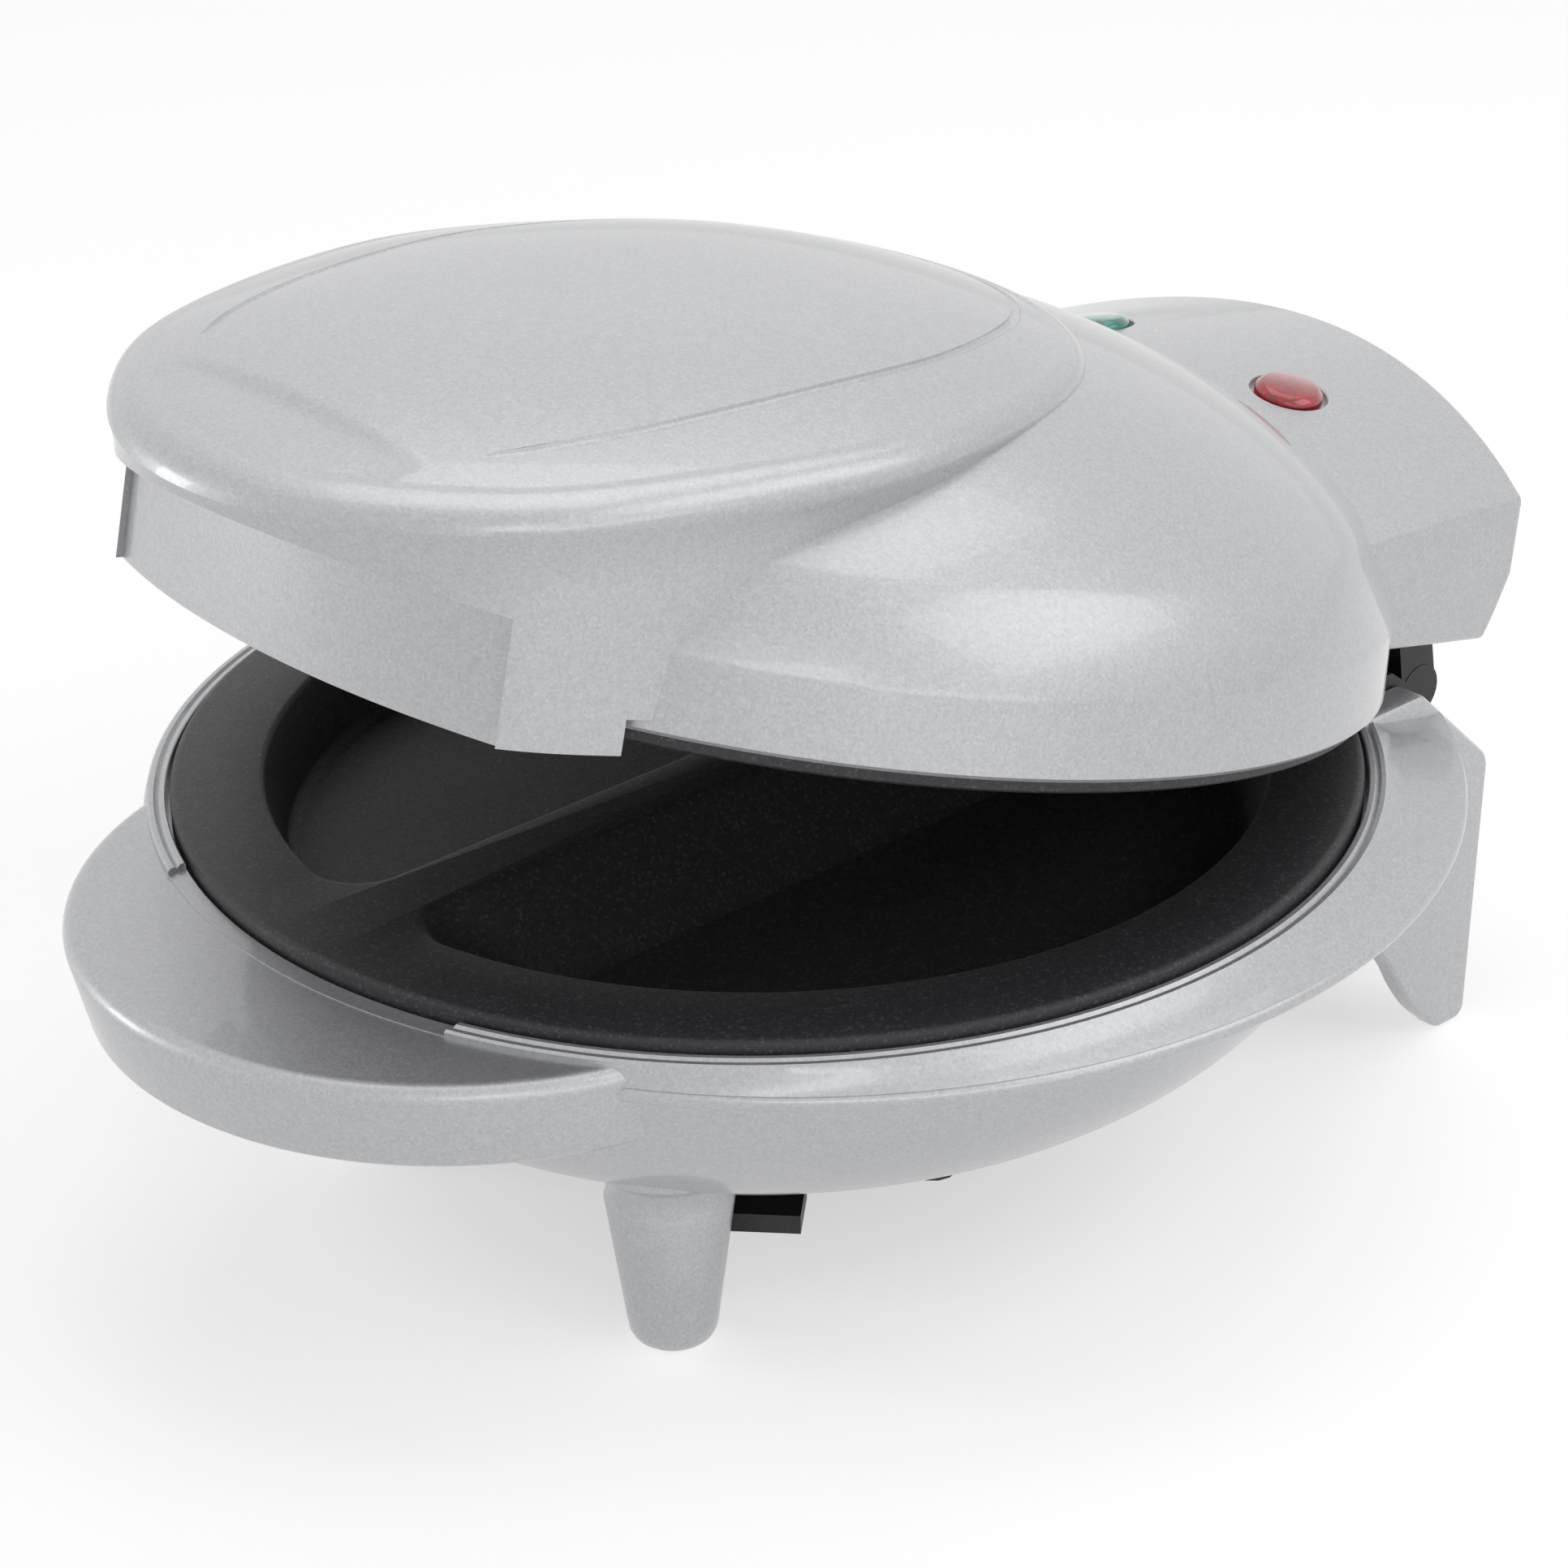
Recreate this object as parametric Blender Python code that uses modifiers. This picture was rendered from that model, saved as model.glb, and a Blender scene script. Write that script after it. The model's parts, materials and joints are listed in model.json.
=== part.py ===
"""Countertop omelette maker with two half-moon pockets.

A round base bowl on two front legs and two rear fins carries the lower plate.
A domed lid with an egg-shaped top turns on two pins at the rear and carries the
upper plate. Everything is modelled with the lid closed, around the plate axis,
and the lid then stands open by lid_rest_angle. Metres, +Z up, -Y to the front.
"""
import math

import bmesh
import bpy
from mathutils import Matrix, Vector

# Fits and rounding shared by all pieces
seat_gap = 0.0003
overrun = 0.0020
shell_wall = 0.0028
merge_distance = 0.00001
weld_distance = 0.000002
fine_round = 0.0005

# Smoothness
round_steps = 48
hidden_steps = 24
small_steps = 12
screw_steps = 8
bore_steps = 6
pocket_bow_steps = 12
pocket_end_steps = 3
heater_steps = 21
egg_steps = 2
housing_stations = 16
smooth_angle = math.radians(35)

# Hinge and pose of the lid
hinge_y = 0.1040
hinge_z = 0.0580
lid_rest_angle = math.radians(13.3)
rim_plane_z = 0.0700

# Lower plate and its two pockets
plate_radius = 0.0943
plate_top_z = 0.0672
plate_rim_height = 0.0047
plate_body_radius = 0.0865
plate_body_depth = 0.0140
plate_edge_round = 0.0010
pocket_radius = 0.0770
pocket_ridge_half = 0.0085
pocket_corner_radius = 0.0100
pocket_depth = 0.0130
pocket_draft = 0.0060
upper_plate_radius = 0.0921
upper_pocket_depth = 0.0120
lug_half = 0.0050
lug_thickness = 0.0028
tongue_reach = 0.0010

# Heaters, reflectors and what is on the plates
heater_loop_radius = 0.0460
heater_tube_radius = 0.0032
heater_open_angle = math.radians(56)
heater_lead_length = 0.0110
reflector_radius = 0.0760
reflector_sheet = 0.0008
reflector_drop = 0.0062
reflector_rim_height = 0.0040
post_radius = 0.0040
post_circle_radius = 0.0560
reflector_post_circle = 0.0240
thermostat_radius = 0.0085
thermostat_height = 0.0090
fuse_length = 0.0200
fuse_radius = 0.0022

# Bowl of the base
bowl_opening_radius = 0.0950
bowl_ring_outer = 0.0980
bowl_ring_z = 0.0653
bowl_ring_bead = 0.0004
flange_radius = 0.1050
flange_centre_y = 0.0080
flange_z = 0.0615
flange_edge = 0.0026
bowl_neck_radius = 0.0965
bowl_neck_z = 0.0586
bowl_foot_radius = 0.0709
bowl_foot_z = 0.0280
bowl_arc_sagitta = 0.0046
bowl_arc_steps = 5
ledge_radius = 0.0885
ledge_depth = 0.0040
cover_ledge_radius = 0.0595
cover_ledge_height = 0.0025
plate_boss_radius = 0.0052

# Front grip lip
lip_radius = 0.0610
lip_centre_y = -0.0605
lip_top_z = 0.0645
lip_bottom_z = 0.0505
lip_draft = 0.0030
lip_round = 0.0025
lip_wall = 0.0026
lip_step_x = 0.0335
lip_step_y = -0.0890

# Front legs
leg_x = 0.0386
leg_y = -0.0557
leg_foot_radius = 0.0068
leg_foot_round = 0.0008
leg_mid_radius = 0.0102
leg_mid_z = 0.0210
leg_flare_radius = 0.0175
leg_flare_z = 0.0305
leg_top_z = 0.0335
leg_bore_radius = 0.0048
leg_bore_wall = 0.0060

# Rear block and its two fins
block_half = 0.0600
fin_thickness = 0.0034
block_top_z = 0.0660
block_front_y = 0.0560
block_slope_y = 0.0900
block_heel_y = 0.1095
block_heel_z = 0.0455
block_lip_y = 0.1080
block_lip_z = 0.0490
block_foot_y = 0.1057
block_under_z = 0.0300
block_wall = 0.0034
block_hollow_y = 0.0755
fin_toe_y = 0.0980
fin_round = 0.0012
wire_hole_radius = 0.0060
bush_radius = 0.0062
bush_bore_radius = 0.0032
bush_z = 0.0385
rear_cover_screw_x = 0.0525
rear_cover_screw_y = 0.0990
rear_cover_lap = 0.0015

# Hinge bracket, ears and pins
bracket_half = 0.0540
bracket_proud = 0.0020
bracket_sink = 0.0020
bracket_nose_y = 0.0800
bracket_nose_z = 0.0685
bracket_nose_flat = 0.0085
bracket_nose_reach = 0.0124
bracket_nose_drop = 0.0030
bracket_nose_run = 0.0055
bracket_screw_x = 0.0150
bracket_screw_along = 0.0157
knuckle_radius = 0.0046
pin_radius = 0.0016
arm_inner_x = 0.0240
arm_outer_x = 0.0350
ear_inner_x = 0.0380
ear_outer_x = 0.0475
ear_root_front_y = 0.0945
ear_root_rear_y = 0.1030
pin_inner_x = 0.0220
pin_outer_x = 0.0465
knuckle_room = 0.0009

# Bottom cover with its cord hooks
cover_radius = 0.0692
cover_rim_z = 0.0277
cover_floor_z = 0.0240
cover_floor_radius = 0.0655
cover_wall = 0.0024
hook_angle = math.radians(48)
hook_stem_radius = 0.0500
hook_reach = 0.0570
hook_width = 0.0200
hook_bottom_z = 0.0120
hook_thickness = 0.0032
cover_screw_circle = 0.0640
cover_screw_angle = math.radians(20)
cover_boss_radius = 0.0038
cover_boss_height = 0.0080
leg_notch_gap = 0.0005

# Lid band and dome
lid_radius = 0.0940
band_height = 0.0120
band_draft = 0.0010
dome_height = 0.0370
dome_fullness = 2.2
dome_shoulder = 0.6
dome_steps = 10
dome_wall = 0.0026
lid_seat_depth = 0.0018

# Egg-shaped top with the front handle
egg_half_width = 0.0605
egg_front_y = -0.1193
egg_length = 0.1513
egg_edge_z = 0.1103
egg_level_y = -0.0500
egg_edge_tilt = 0.158
egg_edge_sag = 0.0029
egg_crown = 0.0063
egg_crown_fullness = 3.2
egg_edge_round = 0.0045
egg_flare = 0.0016
egg_flare_depth = 0.0090
egg_widest_share = 0.52
handle_bottom_z = 0.0668
grip_half_width = 0.0460
grip_front_y = -0.1028
grip_end_y = -0.0970
grip_roof_front_z = 0.0903
grip_roof_back_z = 0.0848
handle_clearance_radius = 0.0962

# Rear housing of the lid
housing_half = 0.0580
housing_side_y = 0.1063
housing_mid_y = 0.1172
housing_front_y = 0.0500
housing_top_z = 0.0927
housing_top_tilt = 0.1457
housing_top_sag = 0.0135
housing_round = 0.0028
housing_wall = 0.0028
housing_heel = 0.0114
housing_bulge = 0.0013
housing_foot_inset = 0.0027
inner_cover_thickness = 0.0024
inner_cover_screw_x = 0.0300
inner_cover_screw_y = 0.0985

# Indicator lamps
lamp_x = 0.0220
lamp_y = 0.0864
lens_radius = 0.0066
lens_dome = 0.0014
lens_recess = 0.0009
lens_recess_radius = 0.0075
lens_stem_radius = 0.0048
lens_stem_length = 0.0050
neon_radius = 0.0027
neon_length = 0.0110
holder_thickness = 0.0016
holder_half_y = 0.0080
holder_half_x = 0.0495

# Screws
screw_shank = 0.0014
screw_bore = 0.0017
screw_head = 0.0029
screw_head_height = 0.0018
screw_length = 0.0090
screw_slot_depth = 0.0008
screw_slot_width = 0.0008

# Sizes worked out from the ones above
plate_bottom_z = plate_top_z - plate_rim_height - plate_body_depth
upper_face_z = plate_top_z + seat_gap
upper_rim_top_z = rim_plane_z + lid_seat_depth - seat_gap
upper_back_z = upper_face_z + plate_rim_height + plate_body_depth
ledge_z = plate_top_z - plate_rim_height - seat_gap
cover_rim_top = cover_rim_z + cover_wall
cover_ledge_z = cover_rim_top + seat_gap
cover_ledge_top = cover_ledge_z + cover_ledge_height
reflector_far_z = plate_bottom_z - reflector_drop - reflector_sheet
boss_top_z = reflector_far_z - 2 * seat_gap
inner_cover_top = rim_plane_z + seat_gap + inner_cover_thickness
lug_low_z = inner_cover_top + seat_gap
slope_lean = math.atan2(block_top_z - block_lip_z, block_lip_y - block_slope_y)
bracket_length = (math.hypot(block_lip_y - block_slope_y, block_top_z - block_lip_z)
                  - block_wall)
bracket_screw_seat = bracket_proud - screw_head_height - 2 * seat_gap
rest_front_reach = lip_radius - lip_centre_y
housing_rear_top_z = housing_top_z + housing_top_tilt * housing_mid_y
rest_rear_reach = (hinge_y
                   + (housing_mid_y - hinge_y) * math.cos(lid_rest_angle)
                   + (housing_rear_top_z - hinge_z) * math.sin(lid_rest_angle)
                   - housing_round / 2 * (math.cos(lid_rest_angle) + math.sin(lid_rest_angle) - 1))
frame_shift_y = (rest_front_reach - rest_rear_reach) / 2


def circle_points(radius, centre_x=0.0, centre_y=0.0, count=round_steps):
    """Points of a full circle, anticlockwise, starting at +X."""
    turns = [2 * math.pi * i / count for i in range(count)]
    return [(centre_x + radius * math.cos(a), centre_y + radius * math.sin(a)) for a in turns]


def arc_points(start, end, sagitta, steps):
    """Points from start to end on an arc that bulges to the left by sagitta."""
    a, b = Vector(start), Vector(end)
    chord = b - a
    half = chord.length / 2
    radius = (half * half + sagitta * sagitta) / (2 * sagitta)
    normal = Vector((-chord.y, chord.x)).normalized()
    centre = (a + b) / 2 + normal * (sagitta - radius)
    sweep = 2 * math.asin(half / radius)
    first = (a - centre)
    points = []
    for i in range(steps + 1):
        turn = Matrix.Rotation(-sweep * i / steps, 2)
        points.append(tuple(centre + turn @ first))
    return points


def spline_points(corners, per_span):
    """A closed smooth curve through the corners."""
    count = len(corners)
    points = []
    for i in range(count):
        p0, p1, p2, p3 = (Vector(corners[(i + k) % count]) for k in (-1, 0, 1, 2))
        for step in range(per_span):
            t = step / per_span
            points.append(tuple((2 * p1 + (p2 - p0) * t + (2 * p0 - 5 * p1 + 4 * p2 - p3) * t * t
                                 + (3 * p1 - p0 - 3 * p2 + p3) * t * t * t) / 2))
    return points


def rounded_outline(corners, radius, steps=4):
    """The corner points with each corner replaced by an arc of the given radius."""
    count = len(corners)
    points = []
    for i, corner in enumerate(corners):
        here = Vector(corner)
        before = (Vector(corners[i - 1]) - here).normalized()
        after = (Vector(corners[(i + 1) % count]) - here).normalized()
        bend = before.angle(after)
        reach = radius / math.tan(bend / 2)
        centre = here + (before + after).normalized() * (radius / math.sin(bend / 2))
        first, last = here + before * reach - centre, here + after * reach - centre
        turn = first.angle_signed(last)
        for step in range(steps + 1):
            points.append(tuple(centre + Matrix.Rotation(-turn * step / steps, 2) @ first))
    return points


def clear_scene():
    """Empty the file, so that the script can run in any scene."""
    for item in list(bpy.data.objects):
        bpy.data.objects.remove(item, do_unlink=True)


def new_collection(name):
    """A collection linked to the scene."""
    collection = bpy.data.collections.new(name)
    bpy.context.scene.collection.children.link(collection)
    return collection


def new_frame(name, location, turn_x=0.0):
    """An empty that carries the pieces of one body."""
    frame = bpy.data.objects.new(name, None)
    frame.location = location
    frame.rotation_euler = (turn_x, 0.0, 0.0)
    parts.objects.link(frame)
    return frame


def add_object(name, mesh):
    """A mesh object in the parts collection."""
    piece = bpy.data.objects.new(name, mesh)
    parts.objects.link(piece)
    return piece


def bmesh_object(name, shape):
    """Turn a finished bmesh into an object."""
    mesh = bpy.data.meshes.new(name)
    bmesh.ops.recalc_face_normals(shape, faces=shape.faces)
    shape.to_mesh(mesh)
    shape.free()
    mesh.shade_smooth()
    mesh.set_sharp_from_angle(angle=smooth_angle)
    return add_object(name, mesh)


def as_mesh(source, name):
    """Replace a curve object by a mesh object with welded caps."""
    graph = bpy.context.evaluated_depsgraph_get()
    mesh = bpy.data.meshes.new_from_object(source.evaluated_get(graph))
    matrix = source.matrix_world.copy()
    bpy.data.objects.remove(source, do_unlink=True)
    shape = bmesh.new()
    shape.from_mesh(mesh)
    bpy.data.meshes.remove(mesh)
    bmesh.ops.remove_doubles(shape, verts=shape.verts, dist=merge_distance)
    piece = bmesh_object(name, shape)
    piece.matrix_world = matrix
    return piece


def turned(name, profile, steps=round_steps, centre=(0.0, 0.0)):
    """A body of revolution about Z; the profile runs down its outer side."""
    mesh = bpy.data.meshes.new(name)
    corners = [(radius, 0.0, height) for radius, height in profile]
    closed = profile[0][0] > 0
    edges = [(i, i + 1) for i in range(len(corners) - 1)]
    if closed:
        edges.append((len(corners) - 1, 0))
    mesh.from_pydata(corners, edges, [])
    piece = add_object(name, mesh)
    screw = piece.modifiers.new("turn", "SCREW")
    screw.steps = steps
    screw.render_steps = steps
    screw.use_merge_vertices = True
    screw.merge_threshold = merge_distance
    piece.location = (centre[0], centre[1], 0.0)
    return piece


def loft(name, rings):
    """A closed body through rings of equally many points."""
    shape = bmesh.new()
    rows = [[shape.verts.new(point) for point in ring] for ring in rings]
    for low, high in zip(rows, rows[1:]):
        for i in range(len(low)):
            j = (i + 1) % len(low)
            shape.faces.new((low[i], low[j], high[j], high[i]))
    bmesh.ops.triangulate(shape, faces=shape.faces)
    shape.faces.new(rows[0])
    shape.faces.new(rows[-1])
    return bmesh_object(name, shape)


def outline_plate(name, outline, low, high):
    """A flat outline in X and Y, extruded between two heights."""
    data = bpy.data.curves.new(name, "CURVE")
    data.dimensions = "2D"
    data.fill_mode = "BOTH"
    data.extrude = (high - low) / 2
    spline = data.splines.new("POLY")
    spline.points.add(len(outline) - 1)
    for point, (x, y) in zip(spline.points, outline):
        point.co = (x, y, 0.0, 1.0)
    spline.use_cyclic_u = True
    curve = bpy.data.objects.new(name, data)
    parts.objects.link(curve)
    bpy.context.view_layer.update()
    piece = as_mesh(curve, name)
    piece.data.transform(Matrix.Translation((0.0, 0.0, (low + high) / 2)))
    return piece


def side_plate(name, outline, low, high):
    """A flat outline in Y and Z, extruded between two places along X."""
    piece = outline_plate(name, outline, low, high)
    piece.data.transform(Matrix(((0, 0, 1, 0), (1, 0, 0, 0), (0, 1, 0, 0), (0, 0, 0, 1))))
    return piece


def cylinder(name, radius, low, high, centre=(0.0, 0.0), steps=small_steps):
    """A round bar along Z."""
    shape = bmesh.new()
    bmesh.ops.create_cone(shape, cap_ends=True, segments=steps, radius1=radius, radius2=radius,
                          depth=high - low)
    middle = Matrix.Translation((centre[0], centre[1], (low + high) / 2))
    bmesh.ops.transform(shape, matrix=middle, verts=shape.verts)
    return bmesh_object(name, shape)


def cross_bar(name, radius, low, high, centre, steps=small_steps):
    """A round bar along X, with its centre given in Y and Z."""
    piece = cylinder(name, radius, low, high, steps=steps)
    piece.data.transform(Matrix.Rotation(math.pi / 2, 4, "Y"))
    piece.data.transform(Matrix.Translation((0.0, centre[0], centre[1])))
    return piece


def box(name, low, high):
    """A box between two corners."""
    shape = bmesh.new()
    bmesh.ops.create_cube(shape, size=1)
    size = [high[k] - low[k] for k in range(3)]
    middle = [(high[k] + low[k]) / 2 for k in range(3)]
    bmesh.ops.scale(shape, vec=size, verts=shape.verts)
    bmesh.ops.translate(shape, vec=middle, verts=shape.verts)
    return bmesh_object(name, shape)


def tube(name, path, radius, steps=1):
    """A bent tube along a path of points."""
    data = bpy.data.curves.new(name, "CURVE")
    data.dimensions = "3D"
    data.bevel_depth = radius
    data.bevel_resolution = steps
    data.use_fill_caps = True
    spline = data.splines.new("POLY")
    spline.points.add(len(path) - 1)
    for point, place in zip(spline.points, path):
        point.co = (*place, 1.0)
    curve = bpy.data.objects.new(name, data)
    parts.objects.link(curve)
    bpy.context.view_layer.update()
    return as_mesh(curve, name)


def combine(piece, other, operation):
    """Join or cut a piece with another object, which becomes a hidden guide."""
    change = piece.modifiers.new(other.name, "BOOLEAN")
    change.operation = operation
    change.solver = "EXACT"
    change.object = other
    weld = piece.modifiers.new("weld", "WELD")
    weld.merge_threshold = weld_distance
    other.hide_render = True
    other.display_type = "WIRE"
    if other.name in parts.objects:
        parts.objects.unlink(other)
        cutters.objects.link(other)
    return piece


def cut(piece, *others):
    """Take the other objects away from a piece."""
    for other in others:
        combine(piece, other, "DIFFERENCE")
    return piece


def join(piece, *others):
    """Add the other objects to a piece."""
    for other in others:
        combine(piece, other, "UNION")
    return piece


def rounded(piece, width, segments=2, angle=smooth_angle):
    """Round the sharp edges that a piece has so far."""
    bevel = piece.modifiers.new("round", "BEVEL")
    bevel.width = width
    bevel.segments = segments
    bevel.limit_method = "ANGLE"
    bevel.angle_limit = angle
    piece.modifiers.new("triangles", "TRIANGULATE")
    return piece


def material(name, color, roughness, metallic=0.0):
    """A plain surface finish."""
    finish = bpy.data.materials.new(name)
    finish.use_nodes = True
    shader = finish.node_tree.nodes["Principled BSDF"]
    shader.inputs["Base Color"].default_value = (*color, 1.0)
    shader.inputs["Roughness"].default_value = roughness
    shader.inputs["Metallic"].default_value = metallic
    return finish


def finish_piece(piece, frame, surface):
    """Give a piece its material and hang it on the frame of its body."""
    piece.data.materials.clear()
    piece.data.materials.append(surface.copy())
    guides = [change.object for change in piece.modifiers if change.type == "BOOLEAN"]
    for item in [piece] + guides:
        hang(item, frame)
    return piece


def hang(item, frame):
    """Parent an item, and all that cuts it, with its place kept in closed-lid coordinates."""
    if item.parent:
        return
    item.parent = frame
    if frame == lid_frame:
        item.location = item.location - Vector((0.0, hinge_y, hinge_z))
    for change in item.modifiers:
        if change.type == "BOOLEAN":
            hang(change.object, frame)


def on_circle(radius, angle):
    """A place on a circle round the plate axis."""
    return (radius * math.cos(angle), radius * math.sin(angle))


def quarter_places(radius):
    """Four places on the axes, the first to the right."""
    return [on_circle(radius, math.pi / 2 * i) for i in range(4)]


def cover_screw_places():
    """Four places beside the hooks, two on each side."""
    angles = [cover_screw_angle, math.pi - cover_screw_angle,
              math.pi + cover_screw_angle, -cover_screw_angle]
    return [on_circle(cover_screw_circle, angle) for angle in angles]


def reflector_screw_places():
    """Three places round the middle of a plate."""
    return [on_circle(reflector_post_circle, 2 * math.pi * i / 3 + math.pi / 6) for i in range(3)]


def screw(name, place, seat_z, side, surface, frame, length=screw_length, lean=0.0):
    """A pan-head screw whose head bears at seat_z; side is +1 where it points up."""
    def level(height):
        return side * (height - seat_gap)
    profile = [(0.0, level(length - screw_head_height)),
               (screw_shank, level(length - screw_head_height - fine_round)),
               (screw_shank, level(0.0)), (screw_head, level(0.0)),
               (screw_head, level(-screw_head_height / 2)),
               (screw_head * 0.75, level(-screw_head_height)), (0.0, level(-screw_head_height))]
    if side < 0:
        profile.reverse()
    piece = turned(name, profile, screw_steps)
    ends = sorted((level(-screw_head_height - overrun), level(screw_slot_depth - screw_head_height)))
    slot = box(name + "_slot", (-screw_head - overrun, -screw_slot_width / 2, ends[0]),
               (screw_head + overrun, screw_slot_width / 2, ends[1]))
    for item in (piece, slot):
        item.location = (*place, seat_z)
        item.rotation_euler = (-lean, 0.0, 0.0)
    cut(piece, slot)
    return finish_piece(piece, frame, surface)


def pocket_outline(ridge, radius, corner, side):
    """A half moon on one side of the ridge, with rounded ends."""
    centre_x = ridge + corner
    centre_y = math.sqrt((radius - corner) ** 2 - centre_x ** 2)
    tilt = math.atan2(centre_y, centre_x)
    ends, bow = pocket_end_steps, pocket_bow_steps
    points = []
    for i in range(ends + 1):
        a = -math.pi + (math.pi - tilt) * i / ends
        points.append((centre_x + corner * math.cos(a), -centre_y + corner * math.sin(a)))
    for i in range(1, bow):
        points.append(on_circle(radius, -tilt + 2 * tilt * i / bow))
    for i in range(ends + 1):
        a = tilt + (math.pi - tilt) * i / ends
        points.append((centre_x + corner * math.cos(a), centre_y + corner * math.sin(a)))
    return [(side * x, y) for x, y in points]


def pocket_cutter(name, face_z, depth, facing, side):
    """The hollow of one pocket: drafted wall and rounded floor edge."""
    floor_round = depth / 5
    levels = [(-overrun, 0.0), (0.0, 0.0), (depth - floor_round, pocket_draft - floor_round / 2),
              (depth, pocket_draft + floor_round / 2)]
    rings = []
    for drop, inset in levels:
        outline = pocket_outline(pocket_ridge_half + inset, pocket_radius - inset,
                                 pocket_corner_radius, side)
        rings.append([(x, y, face_z - facing * drop) for x, y in outline])
    return loft(name, rings)


def heater_path(level, extra=0.0):
    """The heater's loop, open to the rear, with its two ends led outwards."""
    count = heater_steps
    path = []
    for i in range(count + 1):
        share = i / count
        angle = math.pi / 2 + heater_open_angle / 2 + share * (2 * math.pi - heater_open_angle)
        end = max(0.0, 1 - min(share, 1 - share) * count / 3)
        path.append((*on_circle(heater_loop_radius + heater_lead_length * end, angle), level))
    for tip, inner in ((0, 1), (-1, -2)):
        outwards = (Vector(path[tip]) - Vector(path[inner])).normalized()
        path[tip] = tuple(Vector(path[tip]) + outwards * extra)
    return path


def cooking_plate(name, radius, face_z, rim_height, depth, facing, surface, frame):
    """A cast plate with two pockets, posts, a heater groove and screw bores at its back."""
    def level(drop):
        return face_z - facing * drop
    back = rim_height + plate_body_depth
    taper = plate_body_depth / 4
    profile = [(0.0, level(0.0)), (radius - plate_edge_round, level(0.0)),
               (radius, level(plate_edge_round)), (radius, level(rim_height)),
               (plate_body_radius, level(rim_height)), (plate_body_radius - taper, level(back)),
               (0.0, level(back))]
    if facing < 0:
        profile.reverse()
    piece = turned(name, profile)
    for side in (-1, 1):
        cut(piece, pocket_cutter(f"{name}_pocket{side:+d}", face_z, depth, facing, side))
    groove = tube(name + "_groove", heater_path(level(back), overrun), heater_tube_radius + 2 * seat_gap)
    cut(piece, groove)
    for i, place in enumerate(reflector_screw_places()):
        ends = sorted((level(back - fine_round), level(back + reflector_drop - seat_gap)))
        join(piece, cylinder(f"{name}_inner_post{i}", post_radius, *ends, place))
        ends = sorted((level(back - fine_round), level(back + reflector_drop + overrun)))
        cut(piece, cylinder(f"{name}_inner_bore{i}", screw_bore, *ends, place, bore_steps))
    return piece


def reflector(name, back_z, facing, through, surface, frame):
    """A pressed steel dish behind a plate, with holes where the posts and screws pass."""
    def level(drop):
        return back_z - facing * drop
    near, far = reflector_drop, reflector_drop + reflector_sheet
    flare = reflector_rim_height / 2
    profile = [(0.0, level(near)), (reflector_radius - flare, level(near)),
               (reflector_radius, level(near - reflector_rim_height)),
               (reflector_radius + reflector_sheet, level(near - reflector_rim_height)),
               (reflector_radius - flare + reflector_sheet, level(far)), (0.0, level(far))]
    if facing < 0:
        profile.reverse()
    piece = turned(name, profile, round_steps // 2)
    ends = sorted((level(near - overrun), level(far + overrun)))
    for i, place in enumerate(reflector_screw_places()):
        cut(piece, cylinder(f"{name}_screw_hole{i}", screw_bore, *ends, place, bore_steps))
    for i, (place, radius) in enumerate(through):
        cut(piece, cylinder(f"{name}_hole{i}", radius, *ends, place))
    return finish_piece(piece, frame, surface)


def bowl_outline():
    """The bowl's outer curve from its neck down to its foot, as radius and height."""
    return arc_points((bowl_neck_radius, bowl_neck_z), (bowl_foot_radius, bowl_foot_z),
                      bowl_arc_sagitta, bowl_arc_steps)


def bowl_inner_outline():
    """The bowl's inner curve, one wall inside the outer one, down to the cover ledge."""
    outer = [Vector(point) for point in bowl_outline()]
    points = []
    for before, here, after in zip(outer, outer[1:], outer[2:]):
        along = (after - before).normalized()
        inside = here + Vector((along.y, -along.x)) * shell_wall
        if inside.y > cover_ledge_top + fine_round:
            points.append((inside.x, inside.y))
    return points


def slope_point(along, out):
    """A point by the rear slope: along it from its upper edge, and out from its surface."""
    start = Vector((block_slope_y, block_top_z))
    run = (Vector((block_lip_y, block_lip_z)) - start).normalized()
    return tuple(start + run * along + Vector((-run.y, run.x)) * out)


def side_outline():
    """The side view of the rear block and its fin, from the bowl over the top to the foot."""
    height = block_under_z
    front_shares = [(0.17, 0.19), (0.30, 0.37), (0.42, 0.58), (0.58, 0.78), (0.78, 0.96)]
    reach = fin_toe_y - (fin_toe_y - block_front_y) * 0.74
    points = [(block_front_y, block_top_z), (block_slope_y, block_top_z),
              (block_lip_y, block_lip_z), (block_heel_y, block_heel_z),
              (block_foot_y, 0.0), (fin_toe_y, 0.0)]
    points += [(fin_toe_y - (fin_toe_y - reach) * y, height * z) for y, z in front_shares]
    points.append((block_front_y, height * 1.4))
    return points


def rear_block():
    """The hinge block at the back with a fin on each side, hollow and open below."""
    block = side_plate("rear_block_form", side_outline(), -block_half, block_half)
    rounded(block, fin_round, 2)
    inner_half = block_half - fin_thickness
    hollow_half = inner_half - fine_round
    under = box("rear_block_under", (-inner_half, block_front_y - overrun, -overrun),
                (inner_half, block_heel_y + overrun, block_under_z))
    deep = block_wall + bracket_sink
    rear_y = block_heel_y - block_wall
    hollow = [(block_hollow_y, block_under_z - overrun), (rear_y - block_wall / 2, block_under_z - overrun),
              (rear_y, block_heel_z), slope_point(bracket_length, -deep), slope_point(0.0, -deep),
              (block_hollow_y, block_top_z - deep)]
    inside = side_plate("rear_block_hollow", hollow, -hollow_half, hollow_half)
    return cut(block, under, inside)


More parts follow.
